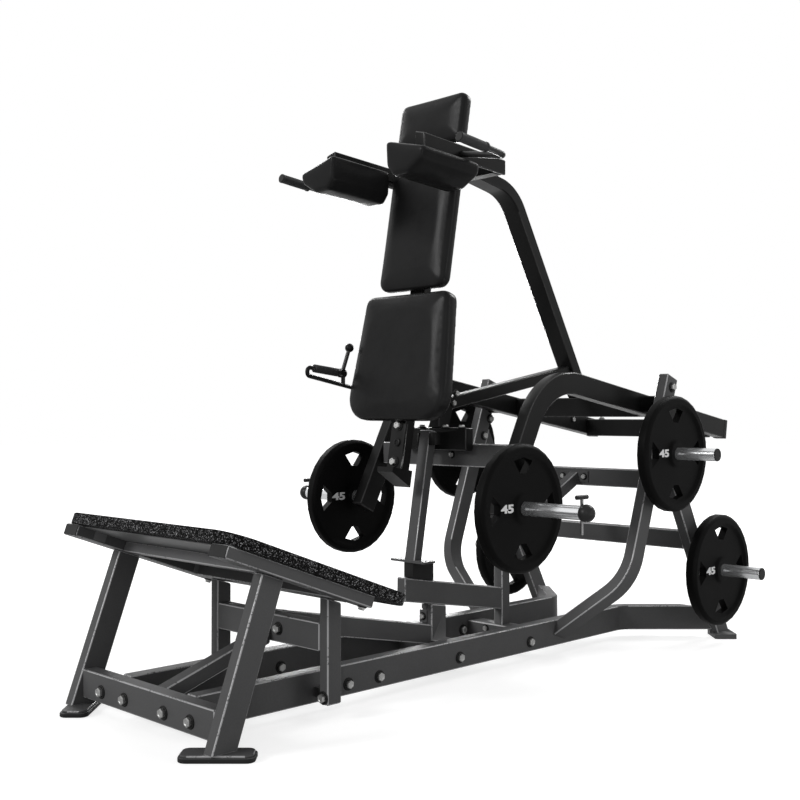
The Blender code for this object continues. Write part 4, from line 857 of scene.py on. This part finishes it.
class VSQUAT_OT_horns(bpy.types.Operator):
    """Plates the horns and the lock pins and closes the storage horns with end plugs"""

    bl_idname = "vsquat.horns"
    bl_label = "Horns and lock pins"

    def execute(self, context):
        for node in HORN_NODES:
            piece = dress(node, "pin_steel" if node.startswith("lock") else "horn_chrome", 35.0)
            if node.startswith("store"):
                continue
            piece.data.materials.append(finish_named("horn_end"))
            for face in piece.data.polygons:
                ball = node.startswith("load") and abs(face.center.x) > BALL_X
                bar = node.startswith("lock") and face.center.z > T_BAR_Z
                face.material_index = 1 if ball or bar else 0
        plug = turned(PLUG_OUTLINE, 40)
        round_over(plug, 40.0)
        places = []
        for node in HORN_NODES:
            if not node.startswith("store"):
                continue
            low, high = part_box(node)
            sign = 1.0 if high.x > 0.0 else -1.0
            end = (sign * STORE_END_X, (low.y + high.y) / 2, (low.z + high.z) / 2)
            places.append((end, (sign, 0.0, 0.0)))
        plugs = scatter(plug, places)
        bpy.data.objects.remove(plug)
        settle(plugs, "store_horn_plugs", "frame", "cap_black")
        return {"FINISHED"}


class VSQUAT_OT_discs(bpy.types.Operator):
    """Dresses the six weight discs and puts the raised number on both faces of each"""

    bl_idname = "vsquat.discs"
    bl_label = "Weight discs"

    def number(self, context):
        sizes = context.scene.vsquat_sizes
        rest()
        bpy.ops.object.text_add()
        text = context.object
        text.data.body = "45"
        text.data.align_x = "CENTER"
        text.data.align_y = "CENTER"
        text.data.size = sizes.number_size
        text.data.extrude = sizes.number_lift / 2
        text.data.offset = 0.0016
        text.data.bevel_depth = 0.0003
        text.data.resolution_u = 6
        bpy.ops.object.convert(target="MESH")
        bpy.ops.object.transform_apply(location=True, rotation=True, scale=True)
        bpy.ops.transform.resize(value=NUMBER_STRETCH)
        bpy.ops.object.transform_apply(location=True, rotation=True, scale=True)
        return context.object

    def round_rim(self, piece, centre):
        """Draws the rim's corners in to a full round, as on a cast disc."""
        points = piece.data.vertices
        for point in points:
            spoke = Vector((0.0, point.co.y - centre[1], point.co.z - centre[2]))
            side = 1.0 if point.co.x > centre[0] else -1.0
            if spoke.length > RIM_OUTER:
                point.co.x = centre[0] + side * RIM_HALF
            elif spoke.length > RIM_INNER:
                point.co -= spoke * (1.0 - RIM_DRAWN / spoke.length)
        pick(piece)
        bpy.ops.object.mode_set(mode="EDIT")
        bpy.ops.mesh.select_mode(type="EDGE")
        bpy.ops.mesh.select_all(action="DESELECT")
        bpy.ops.object.mode_set(mode="OBJECT")
        for edge in piece.data.edges:
            ends = [points[index].co for index in edge.vertices]
            reach = min(Vector((co.y - centre[1], co.z - centre[2])).length for co in ends)
            edge.select = reach > RIM_ROUNDED and abs(ends[0].x - ends[1].x) < 0.0002
        bpy.ops.object.mode_set(mode="EDIT")
        bpy.ops.mesh.bevel(offset=RIM_BEVEL, segments=2, affect="EDGES")
        bpy.ops.object.mode_set(mode="OBJECT")

    def execute(self, context):
        lift = context.scene.vsquat_sizes.number_lift
        number = self.number(context)
        upright = Matrix.Rotation(math.radians(90.0), 4, "X")
        for node, centre in DISCS.items():
            dress(node, "disc_urethane", shape=lambda piece: self.round_rim(piece, centre))
            x, y, z = centre
            pair = []
            for side in (1.0, -1.0):
                one = number.copy()
                one.data = number.data.copy()
                context.scene.collection.objects.link(one)
                turn = Matrix.Rotation(math.radians(90.0 * side), 4, "Z") @ upright
                spot = (x + side * (DISC_HALF + lift / 2), y - side * NUMBER_OUT, z + NUMBER_UP)
                one.matrix_world = Matrix.Translation(Vector(spot)) @ turn
                pair.append(one)
            context.view_layer.update()
            pick(*pair)
            bpy.ops.object.transform_apply(location=True, rotation=True, scale=True)
            bpy.ops.object.join()
            settle(pair[0], node + "_numbers", node, "number_paint")
        bpy.data.objects.remove(number)
        return {"FINISHED"}


class VSQUAT_OT_pads(bpy.types.Operator):
    """Makes the five vinyl pads from their CAD solids by a pressure simulation"""

    bl_idname = "vsquat.pads"
    bl_label = "Pads"

    def execute(self, context):
        for row in PADS:
            self.pad(*row)
        return {"FINISHED"}

    def pad(self, node, back, along, voxel, soften):
        """back points from the soft face to the board, along runs up the pad."""
        sizes = bpy.context.scene.vsquat_sizes
        piece = copy_of(node, node + "_vinyl")
        across = along.cross(back)
        axes = (across, along, back)
        spans = []
        for axis in axes:
            reach = [vertex.co.dot(axis) for vertex in piece.data.vertices]
            spans.append((min(reach), max(reach)))
        pick(piece)
        piece.data.remesh_voxel_size = voxel
        bpy.ops.object.voxel_remesh()
        board = spans[2][1]
        held = piece.vertex_groups.new(name="board")
        for vertex in piece.data.vertices:
            depth = board - vertex.co.dot(back)
            if depth < voxel * 1.6:
                held.add([vertex.index], 1.0, "REPLACE")
        self.relax(piece, soften)
        self.inflate(piece, sizes)
        self.relax(piece, 5)
        self.fit(piece, axes, spans)
        pick(piece)
        bpy.ops.object.modifier_add(type="SUBSURF")
        piece.modifiers[-1].levels = 1
        piece.modifiers[-1].render_levels = 1
        bpy.ops.object.modifier_apply(modifier=piece.modifiers[-1].name)
        bpy.ops.object.shade_smooth()
        settle(piece, node + "_vinyl", "carriage", "pad_vinyl")
        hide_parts(node)

    def relax(self, piece, rounds):
        """Smooths the cover away from its board."""
        pick(piece)
        bpy.ops.object.modifier_add(type="SMOOTH")
        smooth = piece.modifiers[-1]
        smooth.factor = 0.5
        smooth.iterations = rounds
        smooth.vertex_group = "board"
        smooth.invert_vertex_group = True
        bpy.ops.object.modifier_apply(modifier=smooth.name)

    def inflate(self, piece, sizes):
        """A few frames of pressure, with each point's move capped."""
        scene = bpy.context.scene
        before = [vertex.co.copy() for vertex in piece.data.vertices]
        pick(piece)
        bpy.ops.object.modifier_add(type="CLOTH")
        cloth = piece.modifiers[-1]
        cloth.settings.use_pressure = True
        cloth.settings.uniform_pressure_force = sizes.pad_pressure
        cloth.settings.vertex_group_mass = "board"
        cloth.settings.effector_weights.gravity = 0.0
        cloth.settings.tension_stiffness = 60.0
        cloth.settings.compression_stiffness = 60.0
        cloth.settings.bending_stiffness = 30.0
        cloth.collision_settings.use_collision = False
        cloth.point_cache.frame_start = 1
        cloth.point_cache.frame_end = sizes.pad_steps
        for step in range(1, sizes.pad_steps + 1):
            scene.frame_set(step)
        bpy.ops.object.modifier_apply(modifier=cloth.name)
        scene.frame_set(1)
        for vertex, start in zip(piece.data.vertices, before):
            move = vertex.co - start
            if move.length > sizes.pad_swell:
                vertex.co = start + move * (sizes.pad_swell / move.length)

    def fit(self, piece, axes, spans):
        """Brings the swollen pad back to its CAD reach along its own three directions."""
        for axis, (low, high) in zip(axes, spans):
            reach = [vertex.co.dot(axis) for vertex in piece.data.vertices]
            start = min(reach)
            grow = (high - low) / (max(reach) - start)
            for vertex, at in zip(piece.data.vertices, reach):
                vertex.co += axis * (low + (at - start) * grow - at)


class VSQUAT_OT_grips(bpy.types.Operator):
    """Adds the rubber sleeves of the shoulder grips and the side handle, with their end discs"""

    bl_idname = "vsquat.grips"
    bl_label = "Grip sleeves"

    def execute(self, context):
        for sign, side in SIDES:
            tip = Vector((sign * GRIP_TIP[0], *GRIP_TIP[1:]))
            back = Vector((sign * GRIP_REAR[0], *GRIP_REAR[1:]))
            run = (back - tip).normalized()
            sleeve = turned(GRIP_OUTLINE, 36)
            round_over(sleeve, 35.0)
            sleeve.matrix_world = aim(tip, run)
            settle(sleeve, "grip_sleeve_" + side, "carriage", "sleeve_rubber")
            disc = turned(GRIP_END_OUTLINE, 36)
            round_over(disc, 35.0)
            disc.matrix_world = aim(tip, run)
            settle(disc, "grip_end_" + side, "carriage", "sleeve_end")
        rear = Vector(HANDLE_REAR)
        run = (Vector(HANDLE_FRONT) - rear).normalized()
        sleeve = turned(HANDLE_OUTLINE, 36)
        round_over(sleeve, 35.0)
        sleeve.matrix_world = aim(rear, run)
        settle(sleeve, "side_handle_sleeve", "carriage", "sleeve_rubber")
        return {"FINISHED"}


class VSQUAT_OT_bolts(bpy.types.Operator):
    """Sets the hexagon bolts with their washers on the frame, the carriage and the deck"""

    bl_idname = "vsquat.bolts"
    bl_label = "Bolts"

    def execute(self, context):
        radius = context.scene.vsquat_sizes.bolt_radius
        big = hex_bolt(radius, 0.0120, radius * 1.44)
        small = hex_bolt(radius * 0.74, 0.0080, radius * 1.02)
        self.set(big, both_sides(RAIL_BOLTS), "bolts_rails", "frame")
        front = [
            self.on_front("front_crossbar", 0.239, 0.077),
            self.on_front("front_crossbar", 0.106, 0.077),
            self.on_front("mid_crossbar", 0.064, 0.253),
            self.on_front("short_post_left", 0.283, 0.070),
        ]
        self.set(big, both_sides(front), "bolts_crossbars", "frame")
        self.set(big, both_sides(UPRIGHT_BOLTS), "bolts_uprights", "frame")
        rear = [
            self.on_front("rear_bar_high", 0.055, 0.672, 0.0058),
            self.on_front("stop_post", 0.049, 0.084),
        ]
        self.set(small, both_sides(rear) + [SUPPORT_BOLT], "bolts_stop_post", "frame")
        self.set(small, both_sides(DECK_BOLTS), "bolts_deck", "frame")
        self.set(big, SPAR_BOLTS, "bolts_spar", "carriage")
        self.set(small, both_sides(CARRIAGE_BOLTS), "bolts_carriage", "carriage")
        for pattern in (big, small):
            bpy.data.objects.remove(pattern)
        return {"FINISHED"}

    def on_front(self, node, x, z, off=0.0):
        """A bolt on a node's front face, or that far in front of it."""
        return (x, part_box(node)[0].y - off, z), FORWARD

    def set(self, pattern, places, name, body):
        settle(scatter(pattern, places), name, body)


class VSQUAT_OT_caps(bpy.types.Operator):
    """Adds the plastic end caps, the deck's tabs, sheet and bar, and the small plates"""

    bl_idname = "vsquat.caps"
    bl_label = "Caps, tabs and plates"

    def execute(self, context):
        down = Matrix.Rotation(-ARM_TILT, 4, "X")
        slope = Matrix.Rotation(-DECK_TILT, 4, "X")
        for sign, side in SIDES:
            end = Vector((sign * ARM_END[0], *ARM_END[1:]))
            cap = block((0.0530, 0.024, 0.083), end - ARM_RUN * 0.0085, down, 0.002)
            self.inset_end(cap, ARM_RUN)
            settle(cap, "arm_cap_" + side, "carriage", "cap_black")
            plug = block((0.074, 0.004, 0.034), (sign * 0.395, -1.3565, 0.5690), slope, 0.0015)
            settle(plug, "deck_cap_" + side, "frame", "cap_black")
            tabs = []
            for y, z in ((-1.275, 0.545), (-0.892, 0.4045)):
                tabs.append(block((0.003, 0.044, 0.034), (sign * 0.3548, y, z), slope, 0.0008))
            pick(*tabs)
            bpy.ops.object.join()
            # The tabs are in the lit copy of the frame grey: painted light
            settle(tabs[0], "deck_tabs_" + side, "frame", "deck_steel")
        self.deck_underside(slope)
        self.brackets()
        return {"FINISHED"}

    def deck_underside(self, slope):
        """The steel sheet that the mat lies on and the bar between the leg tops, in lit grey:
        painted light.
        """
        under_mat = DECK_FRONT + DECK_ALONG * 0.253 - DECK_UP * 0.0022
        sheet = block((0.706, 0.462, 0.003), under_mat, slope, 0.0005)
        settle(sheet, "deck_sheet", "frame", "deck_steel")
        under_sheet = DECK_FRONT + DECK_ALONG * 0.197 - DECK_UP * 0.0210
        bar = block((0.710, 0.030, 0.033), under_sheet, slope, 0.003)
        round_over(bar, 50.0)
        # The bar's corner strips get the painted highlight finish
        settle(bar, "deck_bar", "frame", "deck_steel", "frame_edge")
        mark_edges(bar)

    def brackets(self):
        """Small bolted plates: under the stop beam, behind the pads and on the rear bar."""
        plate = block((0.036, 0.004, 0.046), (-0.014, -0.1320, 0.187), None, 0.0012)
        lug = block((0.024, 0.012, 0.018), (-0.010, -0.1280, 0.224), None, 0.0012)
        pick(plate, lug)
        bpy.ops.object.join()
        settle(plate, "support_bracket", "frame", "frame_powder")
        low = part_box("rear_bar_high")[0]
        flange = block((0.148, 0.006, 0.046), (0.0, low.y - 0.0028, 0.672), None, 0.0015)
        settle(flange, "brace_flange", "frame", "frame_powder")
        lean = Matrix.Rotation(-LEAN, 4, "X")
        spot = Vector((0.0, 0.009 + SHIFT, 0.896)) + PAD_UP * 0.491 + PAD_BACK * 0.0072
        collar = block((0.074, 0.012, 0.090), spot, lean, 0.0015)
        settle(collar, "spar_collar", "carriage", "carriage_satin")
        ring = turned(BOSS_OUTLINE)
        round_over(ring, 40.0)
        ring.matrix_world = aim((0.003, -0.2860, 0.835), PAD_BACK * -1.0)
        settle(ring, "spar_boss", "carriage", "carriage_satin")

    def inset_end(self, cap, run):
        """A moulded recess in the cap's outer face."""
        edit_faces(cap, lambda face: face.normal.dot(run) > 0.98 and face.area > 0.0005)
        bpy.ops.mesh.inset(thickness=0.004, depth=-0.0008)
        bpy.ops.object.mode_set(mode="OBJECT")


class VSQUAT_PT_build(bpy.types.Panel):
    """Lists the pieces of the machine in the order they are made"""

    bl_label = "V-Squat Machine"
    bl_idname = "VSQUAT_PT_build"
    bl_space_type = "VIEW_3D"
    bl_region_type = "UI"
    bl_category = "V-Squat"

    def draw(self, context):
        column = self.layout.column()
        for step in STEPS:
            column.operator(step.bl_idname)
        for group in (context.scene.vsquat_sizes, context.scene.vsquat_colours):
            box = self.layout.box()
            for name in group.bl_rna.properties.keys():
                if name not in ("rna_type", "name"):
                    box.prop(group, name)


STEPS = (
    VSQUAT_OT_stage,
    VSQUAT_OT_frame_tubes,
    VSQUAT_OT_carriage_tubes,
    VSQUAT_OT_deck,
    VSQUAT_OT_horns,
    VSQUAT_OT_discs,
    VSQUAT_OT_pads,
    VSQUAT_OT_grips,
    VSQUAT_OT_bolts,
    VSQUAT_OT_caps,
)
CLASSES = (VSquatSizes, VSquatColours, *STEPS, VSQUAT_PT_build)


def register():
    for item in CLASSES:
        bpy.utils.register_class(item)
    bpy.types.Scene.vsquat_sizes = PointerProperty(type=VSquatSizes)
    bpy.types.Scene.vsquat_colours = PointerProperty(type=VSquatColours)


def unregister():
    del bpy.types.Scene.vsquat_colours
    del bpy.types.Scene.vsquat_sizes
    for item in reversed(CLASSES):
        bpy.utils.unregister_class(item)


def main():
    """Makes every piece in order."""
    register()
    bpy.ops.vsquat.stage()
    bpy.ops.vsquat.frame_tubes()
    bpy.ops.vsquat.carriage_tubes()
    bpy.ops.vsquat.deck()
    bpy.ops.vsquat.horns()
    bpy.ops.vsquat.discs()
    bpy.ops.vsquat.pads()
    bpy.ops.vsquat.grips()
    bpy.ops.vsquat.bolts()
    bpy.ops.vsquat.caps()


if __name__ == "__main__":
    main()
